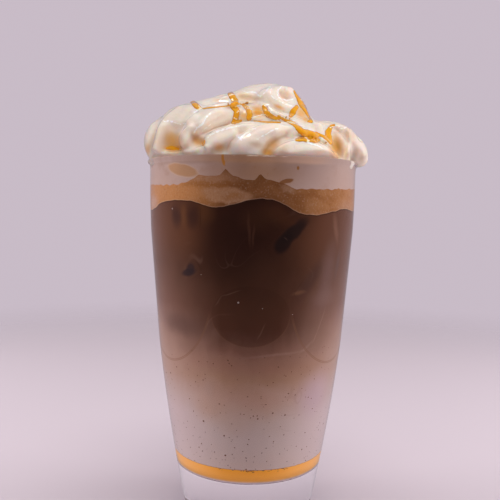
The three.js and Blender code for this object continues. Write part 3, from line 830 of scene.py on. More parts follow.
cream = {
    "crown": 40 * mm, "crownFoot": 144 * mm, "crownRound": 146 * mm, "crownRise": 19 * mm,
    "crownInset": 1.5 * mm, "crownRows": 12, "crownSteps": 96, "fullness": 0.9,
    "rollSides": 8, "rollSteps": 10, "ball": (24, 16),
    "voxel": 0.6 * mm, "smoothing": 30, "swell": 0.2 * mm, "finest": 0.5 * mm, "finish": 2,
    "hollowSmoothing": 60,
    # the upright plane of the listed spots, how strokes die away at their ends, and which way they push
    "plane": -30 * mm, "fade": 0.2, "facing": (0.0, 0.3), "towardsCamera": 0.7, "glintSpread": 1.35,
    # the lip holds the cream in, but for the lobes that hang over it at the sides: degrees, and how far
    "lipInside": 39.4 * mm, "belowLip": 0.8 * mm, "openingOut": 2, "lobes": (2, 60, 70), "lobeReach": 8 * mm,
    "ovalFacing": (-0.1, 0.15), "ovalEdge": (0.1, 1.0),
    "folds": {
        "leftBulge": [(-35, -4, 160, 6.4), (-37.5, -9, 156, 6.4), (-38, -12, 152, 5.2),
            (-37.5, -12, 149, 4)],
        "leftPleat": [(-27.5, -14, 164.5, 4.8), (-32.5, -18, 161, 3.6), (-35.4, -21.5, 156, 2.7),
            (-37.4, -23.5, 148.5, 2.2)],
        "leftDome": [(-27.5, -8, 158.7, 11.2), (-19.5, -8, 161.5, 10.8), (-10.5, -6, 166, 9.2)],
        "leftWeb": [(-23, -15, 161, 8.6), (-27, -18.5, 155, 8.2), (-28.5, -19.5, 149, 7)],
        "longFold": [(-7.5, -20, 166, 4), (-13.5, -25, 163.5, 5), (-19, -29, 159, 5.6),
            (-22.5, -31, 154.5, 5), (-22, -32, 150, 4)],
        "longFoldTip": [(-22, -31, 151, 4), (-17, -34, 148.5, 3.2)],
        "frontFold": [(20, -27, 155.5, 3.8), (12, -30.5, 156, 5.2), (3, -33, 155, 6),
            (-6.5, -34.5, 154.6, 5.6), (-13, -35.5, 153, 4.4)],
        "frontHook": [(-9, -35.5, 153.5, 4.6), (-14.5, -36.5, 152.5, 3.4), (-15.5, -37, 148, 2.6)],
        "frontBody": [(14, -32.5, 151, 4.8), (4, -35.5, 150.5, 5.4), (-8, -35.5, 149.5, 4.8)],
        "frontLow": [(3, -37, 151.5, 4), (-2.5, -38, 150.5, 4.2), (-7, -38, 150.5, 3.2)],
        "rightLow": [(12, -33.5, 148.5, 4.2), (19, -33, 149.2, 4.8), (25, -29.5, 148.5, 4.4),
            (29.5, -26, 147.5, 3.6)],
        "topFold": [(-11.5, -4, 165.4, 8.2), (-4.5, -3, 168.3, 9), (3.5, -3, 170.6, 9.2),
            (10, -4, 170.8, 8.2), (14.5, -6, 167.5, 7.2)],
        "topNose": [(6.5, -8, 173, 5), (11.5, -9, 174.5, 3.8), (13.5, -8, 175, 3.2)],
        "topCurl": [(5.5, -12, 172, 4.6), (8.5, -14, 168, 4.4), (13.5, -13, 166, 4.4),
            (17.5, -11, 166, 4.2)],
        "topCurlEnd": [(16, -12, 166, 4.2), (20, -9, 164, 3.6)],
        "shelf": [(-6, -20, 163.5, 3.8), (3, -22, 162, 4.4), (13, -23, 160.5, 4.8), (22.5, -21, 158, 5)],
        "heart": [(-12, -13, 161, 7), (4, -14, 162, 7.5), (18, -13, 159, 7)],
        "rightFold": [(24.5, -7, 160, 4.8), (31, -8, 159.3, 5.2), (36, -9, 157.4, 5),
            (38.5, -10, 154, 4.6)],
        "rightDroop": [(37.5, -10, 156, 4.6), (41.5, -9, 153, 4.2), (43, -8, 150, 3.8)],
        "rightFront": [(27, -14, 157.5, 4.8), (31.5, -15, 154.5, 5), (33.5, -15, 151, 4.6),
            (34.5, -15, 148, 4)],
        "backLeftRim": [(-37, 4, 151.5, 6), (-31, 18, 152, 6.6), (-22, 28, 151, 6)],
        "backRim": [(-20, 27, 152, 6.4), (-4, 33, 153, 7), (12, 31, 152, 6.6), (22, 26, 151, 5.6)],
        "backRightRim": [(24, 24, 152, 6), (33, 14, 153, 6.6), (38, 3, 152, 6)],
        "backLeftFold": [(-30, 4, 160, 8), (-20, 15, 162, 8.5), (-8, 19, 163, 7.5)],
        "backFold": [(-6, 12, 165, 9), (8, 13, 165, 9), (18, 6, 163, 8)],
        "backRightFold": [(20, 12, 160, 7.5), (29, 4, 158.5, 6.8), (36, -3, 156, 5)],
    },
    # crests and creases on the enlarged photo: spots, width of the left and right flank in its pixels,
    # height in millimetres, and how round the crest is (1 a keen edge, 2 a round one)
    "strokes": {
        "bulgeEdge": ([(205, 285), (170, 350), (152, 420), (132, 490), (112, 565)], (70, 20), 2.1, 1.3),
        "bulgeCrease": ([(178, 300), (140, 370), (122, 440), (104, 510), (92, 560)], (20, 46), -0.8, 2),
        "sheetDish": ([(285, 300), (280, 380), (272, 450), (262, 540)], (85, 72), -2.4, 2),
        "sheetFoot": ([(180, 535), (270, 520), (350, 518), (430, 538)], (16, 30), 2.2, 1.3),
        "sheetFootCrease": ([(205, 506), (290, 500), (385, 505)], (26, 10), -2.2, 1.5),
        "bulbEdge": ([(430, 320), (350, 365), (316, 420), (328, 478), (372, 512)], (70, 18), 2.4, 1.3),
        "bulbCheek": ([(326, 428), (362, 424), (398, 408)], (44, 46), 1.2, 1.8),
        "longCrest": ([(660, 203), (590, 226), (520, 260), (460, 308), (410, 368)], (55, 45), 2, 1.5),
        "longCrest2": ([(640, 240), (560, 282), (500, 322), (450, 368)], (24, 26), 0.9, 1.3),
        "domeFill": ([(352, 335), (392, 285), (440, 236)], (44, 44), 1.9, 2),
        "bulbUnder": ([(440, 385), (405, 440), (398, 500)], (46, 34), -1.3, 2),
        "hookHollow": ([(380, 385), (425, 425), (462, 462), (500, 500)], (54, 44), -1.9, 2),
        "underLong": ([(420, 424), (500, 378), (600, 341), (700, 316)], (36, 14), -2.1, 1.5),
        "upperCrease": ([(690, 316), (850, 306), (1000, 314), (1120, 340)], (26, 9), -1.8, 1.4),
        "hookLip": ([(520, 385), (484, 425), (490, 465), (502, 505)], (55, 10), 2.4, 1.2),
        "smallLobe": ([(385, 535), (440, 492), (495, 480), (545, 505)], (18, 35), 2, 1.5),
        "frontCrest": ([(500, 415), (560, 376), (640, 350), (720, 336), (850, 320)], (14, 70), 1.8, 1.3),
        "frontBelly": ([(490, 490), (545, 452), (620, 428), (690, 405), (740, 380)], (55, 60), 2.2, 2),
        "frontValley": ([(730, 414), (698, 440), (664, 476), (646, 512), (648, 560)], (26, 46), -1.6, 1.8),
        "secondCrest": ([(655, 535), (672, 465), (728, 415), (800, 370), (880, 338), (990, 328),
            (1100, 352)], (10, 95), 2.6, 1.2),
        "secondBelly": ([(680, 520), (730, 470), (810, 428), (900, 392), (1000, 375), (1060, 378)],
            (50, 70), 2.2, 2),
        "lobeUnder": ([(650, 552), (740, 560), (840, 548)], (14, 40), -2, 1.5),
        "brownHollow": ([(1110, 382), (1020, 408), (955, 455), (900, 545)], (50, 40), -2.5, 1.8),
        "rightDomeCrest": ([(940, 565), (985, 500), (1050, 462), (1150, 440), (1250, 450), (1330, 488),
            (1410, 555)], (13, 105), 2.6, 1.3),
        "rightDomeBelly": ([(960, 570), (1060, 540), (1200, 535), (1330, 560), (1420, 585)], (85, 50), 2.6,
            2),
        "rightDomeCrease": ([(1010, 448), (1100, 418), (1200, 414), (1280, 436), (1350, 476), (1440, 560)],
            (30, 10), -1.8, 1.4),
        "sheetEdge": ([(1285, 420), (1350, 466), (1445, 562)], (40, 9), 2.2, 1.1),
        "rightDip": ([(1400, 330), (1422, 430), (1436, 500), (1445, 590)], (50, 60), -2.2, 2),
        "rightRidge": ([(1470, 335), (1498, 420), (1482, 500), (1466, 566)], (80, 12), 2.6, 1.2),
        "rightNotch": ([(1600, 330), (1578, 395), (1596, 450)], (34, 34), -2.6, 1.6),
        "rightFoot": ([(1520, 420), (1570, 490), (1606, 570)], (50, 40), 1.6, 2),
        "topCrease": ([(690, 98), (790, 106), (850, 130), (885, 122), (915, 95), (948, 55)], (12, 32), 0.65,
            1.3),
        "topRidge": ([(560, 150), (640, 128), (720, 112), (800, 118)], (12, 26), 0.8, 1.2),
        "curlOuter": ([(990, 42), (946, 80), (948, 130), (990, 174), (1060, 198), (1140, 190)], (36, 34),
            0.6, 1.5),
        "curlMiddle": ([(1005, 50), (970, 90), (975, 135), (1020, 170), (1080, 180)], (8, 16), 0.9, 1.2),
        "curlInner": ([(1028, 56), (996, 95), (1006, 136), (1055, 160), (1110, 152)], (9, 28), 1.5, 1.2),
        "curlHollow": ([(1018, 92), (1028, 135), (1078, 152)], (16, 20), -0.5, 1.5),
        "nose": ([(1045, 80), (1075, 100), (1085, 130)], (40, 38), 1.2, 2),
        "shelfLine": ([(420, 210), (560, 192), (660, 182), (760, 172), (850, 170), (900, 190), (1000, 245),
            (1090, 290), (1200, 340)], (12, 40), 2, 1.1),
        "shelfUnder": ([(560, 216), (680, 204), (800, 198), (880, 220)], (12, 30), -1.3, 1.4),
        "saddle": ([(820, 232), (900, 262), (980, 296)], (40, 32), -2.4, 1.7),
        "underTop": ([(950, 196), (1000, 225), (1100, 262), (1210, 306)], (24, 10), -1.2, 1.5),
        "rightShoulder": ([(1240, 318), (1330, 322), (1420, 338), (1490, 342)], (20, 50), 1.4, 1.5),
        "mainFold": ([(1010, 300), (1120, 350), (1220, 400)], (30, 30), 0.8, 1.6),
    },
    # syrup soaked into the cream, and painted shade in brown where the folds lie in shadow: spot, half size,
    # lean, strength
    "stains": [
        ((272, 450), (96, 100), 14, 0.4), ((262, 488), (95, 36), 0, 1), ((440, 442), (60, 56), 0, 0.5),
        ((478, 455), (22, 32), 0, 1), ((950, 480), (60, 100), -48, 0.4), ((930, 528), (55, 26), 0, 0.45),
        ((860, 238), (84, 66), 0, 0.95), ((770, 140), (150, 50), 0, 0.35), ((590, 160), (70, 20), 0, 0.3),
        ((1165, 245), (85, 65), -60, 0.75), ((1195, 288), (44, 32), -30, 0.85),
        ((1100, 292), (60, 22), -25, 0.25), ((1345, 316), (80, 12), -6, 0.15),
        ((1405, 480), (74, 150), 10, 0.5), ((1230, 436), (110, 40), -15, 0.4),
        ((1335, 446), (36, 36), 0, 0.3), ((88, 500), (32, 60), 0, 0.45), ((1050, 115), (60, 50), 0, 0.25),
        ((765, 262), (66, 56), 0, 0.72), ((1010, 204), (64, 18), -25, 0.75),
        ((800, 140), (60, 26), 0, 0.35), ((590, 484), (64, 44), -20, 0.5), ((1290, 520), (60, 40), 0, 0.15),
    ],
    "paintedShades": [
        ((252, 440), (98, 135), 14, 0.85), ((275, 485), (105, 44), 0, 0.7),
        ((440, 438), (58, 50), -35, 0.65), ((965, 468), (56, 110), -48, 0.55), ((930, 520), (78, 50), 0, 1),
        ((1410, 480), (66, 120), 8, 0.95), ((592, 498), (100, 44), 20, 0.48),
        ((350, 478), (46, 34), 0, 0.5), ((122, 440), (34, 130), -17, 0.42),
        ((850, 466), (90, 36), -18, 0.42), ((1520, 530), (60, 60), 0, 0.35),
        ((1590, 560), (40, 50), 0, 0.3), ((1040, 500), (60, 66), 0, 0.35),
        ((1500, 400), (90, 110), 0, 0.28),
    ],
    # painted highlights on the crests that glisten: spots with half the width
    "glints": {
        "sheetTop": [(188, 292, 7), (215, 305, 8), (245, 300, 6), (290, 318, 7), (330, 322, 6),
            (360, 318, 4)],
        "foldLeft": [(412, 384, 8), (430, 355, 10), (462, 330, 9), (490, 290, 10), (528, 245, 6)],
        "foldLeftLow": [(470, 372, 5), (500, 345, 6), (540, 318, 4)],
        "foldTop": [(415, 240, 6), (440, 225, 7), (470, 215, 5)],
        "frontCrest": [(508, 418, 6), (540, 392, 8), (580, 375, 8), (625, 362, 8), (680, 345, 7),
            (730, 338, 5)],
        "meeting": [(702, 400, 7), (722, 412, 9), (742, 432, 8)],
        "secondCrest": [(738, 430, 7), (760, 400, 10), (800, 375, 10), (850, 352, 7)],
        "secondLow": [(850, 432, 6), (880, 412, 8), (930, 385, 7), (975, 360, 7), (1012, 350, 5)],
        "dome": [(752, 88, 4), (790, 100, 6), (830, 96, 6), (868, 122, 8), (890, 118, 6), (920, 85, 7),
            (950, 56, 5)],
        "curlOuter": [(955, 72, 6), (948, 100, 7), (960, 130, 7), (985, 150, 6), (1020, 165, 6),
            (1060, 185, 6), (1100, 195, 5)],
        "curlInner": [(1030, 55, 5), (1005, 85, 6), (1003, 120, 7), (1020, 145, 6), (1060, 155, 6),
            (1108, 148, 5)],
        "shelf": [(885, 184, 5), (930, 205, 6), (975, 235, 6), (1020, 262, 6), (1060, 282, 6),
            (1125, 302, 5)],
        "underShelf": [(820, 276, 4), (870, 262, 5), (916, 254, 4)],
        "rightDome": [(1205, 450, 5), (1240, 462, 7), (1290, 480, 7), (1314, 494, 5)],
        "rightTop": [(1425, 340, 6), (1450, 354, 8), (1478, 344, 6)],
        "leftDropGlint": [(457, 188, 5), (450, 208, 6), (472, 218, 5)],
        "fingerGlint": [(686, 202, 5), (712, 196, 7), (738, 190, 5)],
        "fingerGlintRight": [(772, 190, 5), (798, 204, 6), (812, 226, 5)],
        "fingerGlintLow": [(698, 246, 4), (726, 232, 5)],
        "footGlint": [(690, 276, 4), (712, 292, 5)],
        "crownGlint": [(664, 124, 5), (690, 120, 6)],
        "loopGlint": [(926, 262, 4), (942, 286, 6), (976, 298, 6), (1008, 298, 5)],
        "mainGlint": [(1058, 306, 5), (1086, 312, 7), (1120, 324, 6), (1146, 336, 5)],
        "poolGlint": [(1163, 414, 5), (1194, 424, 6), (1216, 446, 5)],
        "dropGlint": [(1364, 350, 5), (1390, 342, 5)],
        "edgeGlint": [(1158, 154, 5), (1186, 166, 5)],
    },
}


def pipeRoll(name, stations):
    # a tapered roll with round ends along smooth handles through its stations
    deselectAll()
    bpy.ops.curve.primitive_bezier_curve_add(location=(0, 0, 0))
    roll = bpy.context.object
    roll.name = name
    spline = roll.data.splines[0]
    spline.bezier_points.add(len(stations) - 2)
    for point, (x, y, z, radius) in zip(spline.bezier_points, stations):
        point.co = (x * mm, y * mm, z * mm)
        point.handle_left_type = point.handle_right_type = "AUTO"
        point.radius = radius
    spline.radius_interpolation = "CARDINAL"
    roll.data.bevel_depth = mm
    roll.data.bevel_resolution = cream["rollSides"]
    roll.data.resolution_u = cream["rollSteps"]
    roll.data.use_fill_caps = True
    bpy.ops.object.convert(target="MESH")
    ends = []
    segments, rings = cream["ball"]
    for x, y, z, radius in (stations[0], stations[-1]):
        bpy.ops.mesh.primitive_uv_sphere_add(segments=segments, ring_count=rings, radius=radius * mm,
                                             location=(x * mm, y * mm, z * mm))
        ends.append(bpy.context.object)
    return joinPieces([roll] + ends, name)


def makeCrown():
    profile = [(0, cream["crownFoot"]), (cream["crown"] - cream["crownInset"], cream["crownFoot"])]
    for angle in spaced(0, 90, cream["crownRows"])[:-1]:
        profile.append((cream["crown"] * cosine(angle) ** cream["fullness"],
                        cream["crownRound"] + cream["crownRise"] * sine(angle) ** cream["fullness"]))
    profile.append((0, cream["crownRound"] + cream["crownRise"]))
    return turnProfile("crown", profile, cream["crownSteps"])


def fuse(piece, voxel, smoothing):
    # the rolls grow into one skin and their creases soften
    modify(piece, "oneSkin", "REMESH", mode="VOXEL", voxel_size=voxel)
    modify(piece, "soften", "SMOOTH", factor=0.5, iterations=smoothing)
    applyModifiers(piece)
    smoothShade(piece)


def eyePlace():
    return np.array((studio["sideStep"], -studio["distance"], studio["height"]))


def cameraTurn():
    lookDown = Matrix.Rotation(math.radians(90 - studio["lookDown"]), 4, "X")
    return lookDown @ Matrix.Rotation(math.radians(studio["roll"]), 4, "Z")


def towardsCamera(piece):
    # for each point of a piece the way to the camera, and how far its surface faces there
    away = eyePlace() - readPoints(piece)
    away = away / np.linalg.norm(away, axis=1)[:, None]
    return away, (readPoints(piece, "normal") * away).sum(axis=1)


def seenFromFront(points):
    # where each point shows on the upright plane, in millimetres
    eye = eyePlace()
    share = (cream["plane"] - eye[1]) / (points[:, 1] - eye[1])
    return ((eye + (points - eye) * share[:, None])[:, (0, 2)]) / mm


def fromPhoto(spot):
    # a spot of the enlarged photo on the upright plane, to a tenth of a millimetre, and its width with it
    across = photo["across"]
    x, y = (corner + picked / photo["enlarged"] - across / 2 for corner, picked in zip(photo["corner"], spot))
    zoom = studio["lens"] / studio["sensor"] * across
    ray = np.array(cameraTurn().to_3x3()) @ (x / zoom, -y / zoom, -1)
    eye = eyePlace()
    place = (eye + ray * (cream["plane"] - eye[1]) / ray[1]) / mm
    widths = [float(f"{width * photo['pixel']:.2g}") for width in spot[2:]]
    return [round(place[0], 1), round(place[2], 1)] + widths


def sizes(pixels):
    return [round(size * photo["pixel"], 1) for size in pixels]


def roundOff(stations, steps=5):
    # a smooth line through the stations
    ends = [stations[0]] + list(stations) + [stations[-1]]
    line = []
    for before, start, end, after in zip(ends, ends[1:], ends[2:], ends[3:]):
        for i in range(steps):
            t = i / steps
            line.append([0.5 * (2 * q + (r - p) * t + (2 * p - 5 * q + 4 * r - w) * t ** 2
                                + (3 * q - p - 3 * r + w) * t ** 3)
                         for p, q, r, w in zip(before, start, end, after)])
    line.append(list(stations[-1]))
    return np.array(line)


def walkedAlong(line):
    # the share of the line that lies behind each of its points
    lengths = np.linalg.norm(line[1:, :2] - line[:-1, :2], axis=1)
    return np.concatenate(([0], np.cumsum(lengths))) / lengths.sum()


def alongLine(seen, line):
    # distance to the line, side of it (left is positive) and how far along it the nearest place is
    distance = np.full(len(seen), 1e9)
    side = np.ones(len(seen))
    share = np.zeros(len(seen))
    walked = walkedAlong(line)
    for i, (start, end) in enumerate(zip(line[:-1, :2], line[1:, :2])):
        leg = end - start
        offset = seen - start
        t = np.clip(offset @ leg / max(1e-9, leg @ leg), 0, 1)
        away = offset - t[:, None] * leg
        reach = np.linalg.norm(away, axis=1)
        nearer = reach < distance
        distance[nearer] = reach[nearer]
        side[nearer] = np.sign(leg[0] * away[nearer, 1] - leg[1] * away[nearer, 0])
        share[nearer] = walked[i] + (walked[i + 1] - walked[i]) * t[nearer]
    return distance, side, share


def linesOf(spotLists):
    return [roundOff([fromPhoto(spot) for spot in spots]) for spots in spotLists]


def softStep(values, low, high):
    t = np.clip((values - low) / (high - low), 0, 1)
    return t * t * (3 - 2 * t)


def sculptFolds(heap):
    points = readPoints(heap)
    seen = seenFromFront(points)
    view, facing = towardsCamera(heap)
    lift = np.zeros(len(points))
    spotLists, flanks, heights, crests = zip(*cream["strokes"].values())
    for line, flank, height, crest in zip(linesOf(spotLists), flanks, heights, crests):
        left, right = sizes(flank)
        distance, side, share = alongLine(seen, line)
        t = np.clip(distance / np.where(side > 0, left, right), 0, 1)
        fade = softStep(share, 0, cream["fade"]) * softStep(1 - share, 0, cream["fade"])
        lift += height * fade * (1 - t ** crest) ** 2
    push = cream["towardsCamera"] * view + (1 - cream["towardsCamera"]) * readPoints(heap, "normal")
    points += push * (softStep(facing, *cream["facing"]) * lift * mm)[:, None]
    reach = np.linalg.norm(points[:, :2], axis=1)
    turn = np.degrees(np.arctan2(points[:, 0], -points[:, 1]))
    middle, first, last = cream["lobes"]
    over = np.maximum(0, points[:, 2] - glassTop + cream["belowLip"])
    most = cream["lipInside"] + cream["openingOut"] * over
    most = most + softStep(np.abs(turn + middle), first, last) * cream["lobeReach"]
    points[:, :2] *= np.where(reach > most, most / np.maximum(reach, 1e-6), 1)[:, None]
    movePoints(heap, points)


def storeHollows(heap):
    # how far each place lies below the heap smoothed over, in millimetres
    soft = copyOf(heap)
    modify(soft, "soften", "SMOOTH", factor=0.5, iterations=cream["hollowSmoothing"])
    applyModifiers(soft)
    depth = ((readPoints(soft) - readPoints(heap)) * readPoints(heap, "normal")).sum(axis=1) / mm
    bpy.data.objects.remove(soft)
    storeValues(heap, "hollow", depth)


def storeOvals(heap, name):
    seen = seenFromFront(readPoints(heap))
    facing = softStep(towardsCamera(heap)[1], *cream["ovalFacing"])
    most = np.zeros(len(seen))
    for at, size, lean, strength in cream[name]:
        across, up = sizes(size)
        away = seen - fromPhoto(at)
        along = away @ np.array((cosine(lean), sine(lean))) / across
        over = away @ np.array((-sine(lean), cosine(lean))) / up
        most = np.maximum(most, strength * (1 - softStep(np.hypot(along, over), *cream["ovalEdge"])))
    storeValues(heap, name, most * facing)


def storeGlints(piece):
    # the broken bright lines along the crests, kept for painted highlights
    seen = seenFromFront(readPoints(piece))
    shine = np.zeros(len(seen))
    for line in linesOf(cream["glints"].values()):
        distance, _, share = alongLine(seen, line)
        wide = np.interp(share, np.linspace(0, 1, len(line)), line[:, 2])
        shine = np.maximum(shine, 1 - distance / (wide * cream["glintSpread"]))
    storeValues(piece, "glint", np.clip(shine, 0, 1))


def makeCreamHeap():
    rolls = [pipeRoll(name, stations) for name, stations in cream["folds"].items()]
    heap = joinPieces([makeCrown()] + rolls, "creamHeap")
    fuse(heap, cream["voxel"], cream["smoothing"])
    modify(heap, "swell", "DISPLACE", strength=cream["swell"], mid_level=0)
    applyModifiers(heap)
    sculptFolds(heap)
    fuse(heap, cream["finest"], cream["finish"])
    storeHollows(heap)
    for name in ("stains", "paintedShades"):
        storeOvals(heap, name)
    storeGlints(heap)
    return heap


creamLook = {
    # the hollows take a darker orange as painted shade, the brown ovals are painted shade too, and glint is
    # the colour of the painted highlights
    "pale": (0.88, 0.80, 0.73), "soft": (0.81, 0.70, 0.60), "hollowShade": (0.77, 0.44, 0.20),
    "syrup": (0.80, 0.36, 0.02), "brown": (0.50, 0.265, 0.10), "glint": (1.0, 0.99, 0.98),
    "hollow": (0.10, 0.9), "hollowShare": 0.65,      # from and to, in millimetres deep, and strength
    "cloud": (14 * mm, 3.0), "fluff": (1.1 * mm, 3.0, 0.8), "fluffDepth": (0.6, 0.25 * mm),
    # the broken painted highlight on the crests: how far it is broken up, size of the cloud, from and to
    "gleam": (2.2, 0.9 * mm, 0.45, 0.75), "gleamFrom": (0.0, 0.35),
    "skin": {"Roughness": 0.38, "Coat_Weight": 0.9, "Coat_Roughness": 0.09, "Subsurface_Weight": 0.6,
             "Subsurface_Radius": (4 * mm, 2.2 * mm, 1.2 * mm), "Subsurface_Scale": 1.0},
}


def gleam(finish, swing, cloud, low, high):
    # painted highlights on crests that glisten, broken up by a fine cloud
    return finish.span(finish.plus(finish.stored("glint"), finish.drift(swing, cloud, 2.0)), low, high)


def whippedCreamFinish():
    finish = Finish("whippedCream")
    colour = finish.mix(finish.noise(*creamLook["cloud"]), creamLook["soft"], creamLook["pale"])
    # darker and more orange in the hollows between the folds: painted shade
    deep = finish.span(finish.stored("hollow"), *creamLook["hollow"])
    colour = finish.tint(colour, deep, creamLook["hollowShare"], creamLook["hollowShade"])
    # brown ovals where the folds lie in shadow: painted shade
    colour = finish.mix(finish.stored("paintedShades"), colour, creamLook["brown"])
    colour = finish.mix(finish.stored("stains"), colour, creamLook["syrup"])
    # pale broken lines along the crests: painted highlights
    crest = finish.span(finish.stored("glint"), *creamLook["gleamFrom"])
    colour = finish.tint(colour, gleam(finish, *creamLook["gleam"]), crest, creamLook["glint"])
    finish.bump(finish.noise(*creamLook["fluff"]), *creamLook["fluffDepth"])
    return finish.set(Base_Color=colour, **creamLook["skin"])


# caramel strings: spots on the enlarged photo with half the width there

strings = {
    "thickness": 0.42, "sunk": 0.35 * mm, "shell": 0.5 * mm, "cuts": 3, "smoothing": 16, "waver": 0.06,
    # how far round the strings the skin of the cream is kept, how far it may turn away, and where it sinks in
    "spare": 1.9, "turnedAway": -0.15, "sinking": (0.98, 1.25),
    "runs": {
        "leftDrop": [(398, 166, 14), (422, 186, 20), (448, 207, 16), (472, 214, 6), (530, 207, 5),
            (600, 200, 4), (662, 194, 5)],
        "crownDrop": [(666, 108, 18), (684, 134, 20), (704, 164, 21)],
        "leftFinger": [(688, 196, 24), (712, 232, 21), (706, 272, 20), (698, 306, 18)],
        "leftFoot": [(684, 312, 10), (716, 306, 11), (742, 298, 9)],
        "rightFinger": [(762, 190, 13), (788, 214, 19), (802, 250, 20), (798, 280, 19)],
        "bridge": [(690, 190, 4), (730, 182, 5), (772, 192, 5)],
        "loop": [(904, 200, 14), (918, 234, 19), (948, 268, 18), (1004, 288, 11)],
        "mainRun": [(1004, 266, 9), (1060, 298, 12), (1118, 326, 15), (1160, 368, 22), (1205, 392, 28),
            (1262, 402, 26)],
        "pool": [(1130, 432, 11), (1176, 428, 18), (1236, 428, 22), (1280, 438, 15)],
        "link": [(1258, 388, 10), (1310, 404, 10), (1354, 432, 13), (1372, 452, 13)],
        "rightFoldDrop": [(1392, 330, 9), (1372, 346, 15), (1352, 384, 20), (1362, 424, 18),
            (1370, 450, 13)],
        "rightEdge": [(1118, 92, 10), (1142, 134, 15), (1166, 184, 18), (1188, 216, 15), (1214, 268, 8),
            (1236, 304, 10)],
        "blob": [(1130, 204, 14), (1108, 236, 20), (1094, 260, 17)],
        "thinLine": [(832, 301, 4), (900, 306, 5), (1016, 310, 5.5)],
        "dot": [(1214, 302, 8), (1226, 306, 8)],
        "sheetPool": [(222, 492, 7), (262, 488, 14), (304, 497, 7)],
        "hookPool": [(486, 442, 6), (479, 460, 9), (474, 472, 5)],
    },
    "dark": (0.76, 0.31, 0.006), "light": (0.82, 0.40, 0.018), "rim": (0.64, 0.27, 0.03),
    # glint is the colour of the painted highlights along the strings
    "glint": (1.0, 0.86, 0.62), "rimFrom": (0.72, 1.05), "gleam": (1.6, 0.7 * mm, 0.4, 0.6),
    "cloud": (4 * mm,), "ripple": (1.5 * mm, 2.0, 0.6), "rippleDepth": (0.3, 0.3 * mm),
    "skin": {"Roughness": 0.12, "Coat_Weight": 1.0, "Coat_Roughness": 0.04, "Subsurface_Weight": 0.25,
             "Subsurface_Radius": (1.2 * mm, 0.6 * mm, 0.2 * mm), "Subsurface_Scale": 1.0},
}


def stringCover(points):
    # below 1 under a string, with its half width there
    seen = seenFromFront(points)
    cover = np.full(len(points), 9.0)
    halfWidth = np.ones(len(points))
    x, z = seen.T
    waver = strings["waver"] * (np.sin(x * 2.3 + z * 1.1) + 0.7 * np.sin(z * 4.1 - x * 1.7))
    for line in linesOf(strings["runs"].values()):
        distance, _, share = alongLine(seen, line)
        wide = np.interp(share, walkedAlong(line), line[:, 2]) * (1 + waver)
        nearer = distance / wide < cover
        cover[nearer] = (distance / wide)[nearer]
        halfWidth[nearer] = wide[nearer]
    return cover, halfWidth


def makeStrings(heap):
    # a skin of the cream below the strings, split finer, swollen outwards and given a back
    piece = copyOf(heap)
    piece.name = "caramelStrings"
    cover, _ = stringCover(readPoints(piece))
    near = (cover < strings["spare"]) & (towardsCamera(piece)[1] > strings["turnedAway"])
    for polygon in piece.data.polygons:
        polygon.select = not any(near[index] for index in polygon.vertices)
    bpy.ops.object.mode_set(mode="EDIT")
    bpy.ops.mesh.select_mode(type="FACE")
    bpy.ops.mesh.delete(type="FACE")
    bpy.ops.mesh.select_all(action="SELECT")
    bpy.ops.mesh.subdivide(number_cuts=strings["cuts"])
    bpy.ops.mesh.vertices_smooth(factor=0.5, repeat=strings["smoothing"])
    bpy.ops.object.mode_set(mode="OBJECT")
    points = readPoints(piece)
    cover, halfWidth = stringCover(points)
    swell = strings["thickness"] * halfWidth * mm * np.sqrt(np.clip(1 - cover ** 2, 0, 1))
    swell -= strings["sunk"] * softStep(cover, *strings["sinking"])
    movePoints(piece, points + readPoints(piece, "normal") * swell[:, None])
    storeValues(piece, "edge", np.clip(cover, 0, 2))
    storeGlints(piece)
    modify(piece, "back", "SOLIDIFY", thickness=strings["shell"], offset=-1)
    applyModifiers(piece)
    smoothShade(piece)
    return piece


def caramelStringFinish():
    finish = Finish("caramelString")
    colour = finish.mix(finish.noise(*strings["cloud"]), strings["light"], strings["dark"])
    # darker where it thins out at its edges
    colour = finish.mix(finish.span(finish.stored("edge"), *strings["rimFrom"]), colour, strings["rim"])
    # pale broken lines along the crests: painted highlights
    colour = finish.mix(gleam(finish, *strings["gleam"]), colour, strings["glint"])
    finish.bump(finish.noise(*strings["ripple"]), *strings["rippleDepth"])
    return finish.set(Base_Color=colour, **strings["skin"])


# place, lights and camera

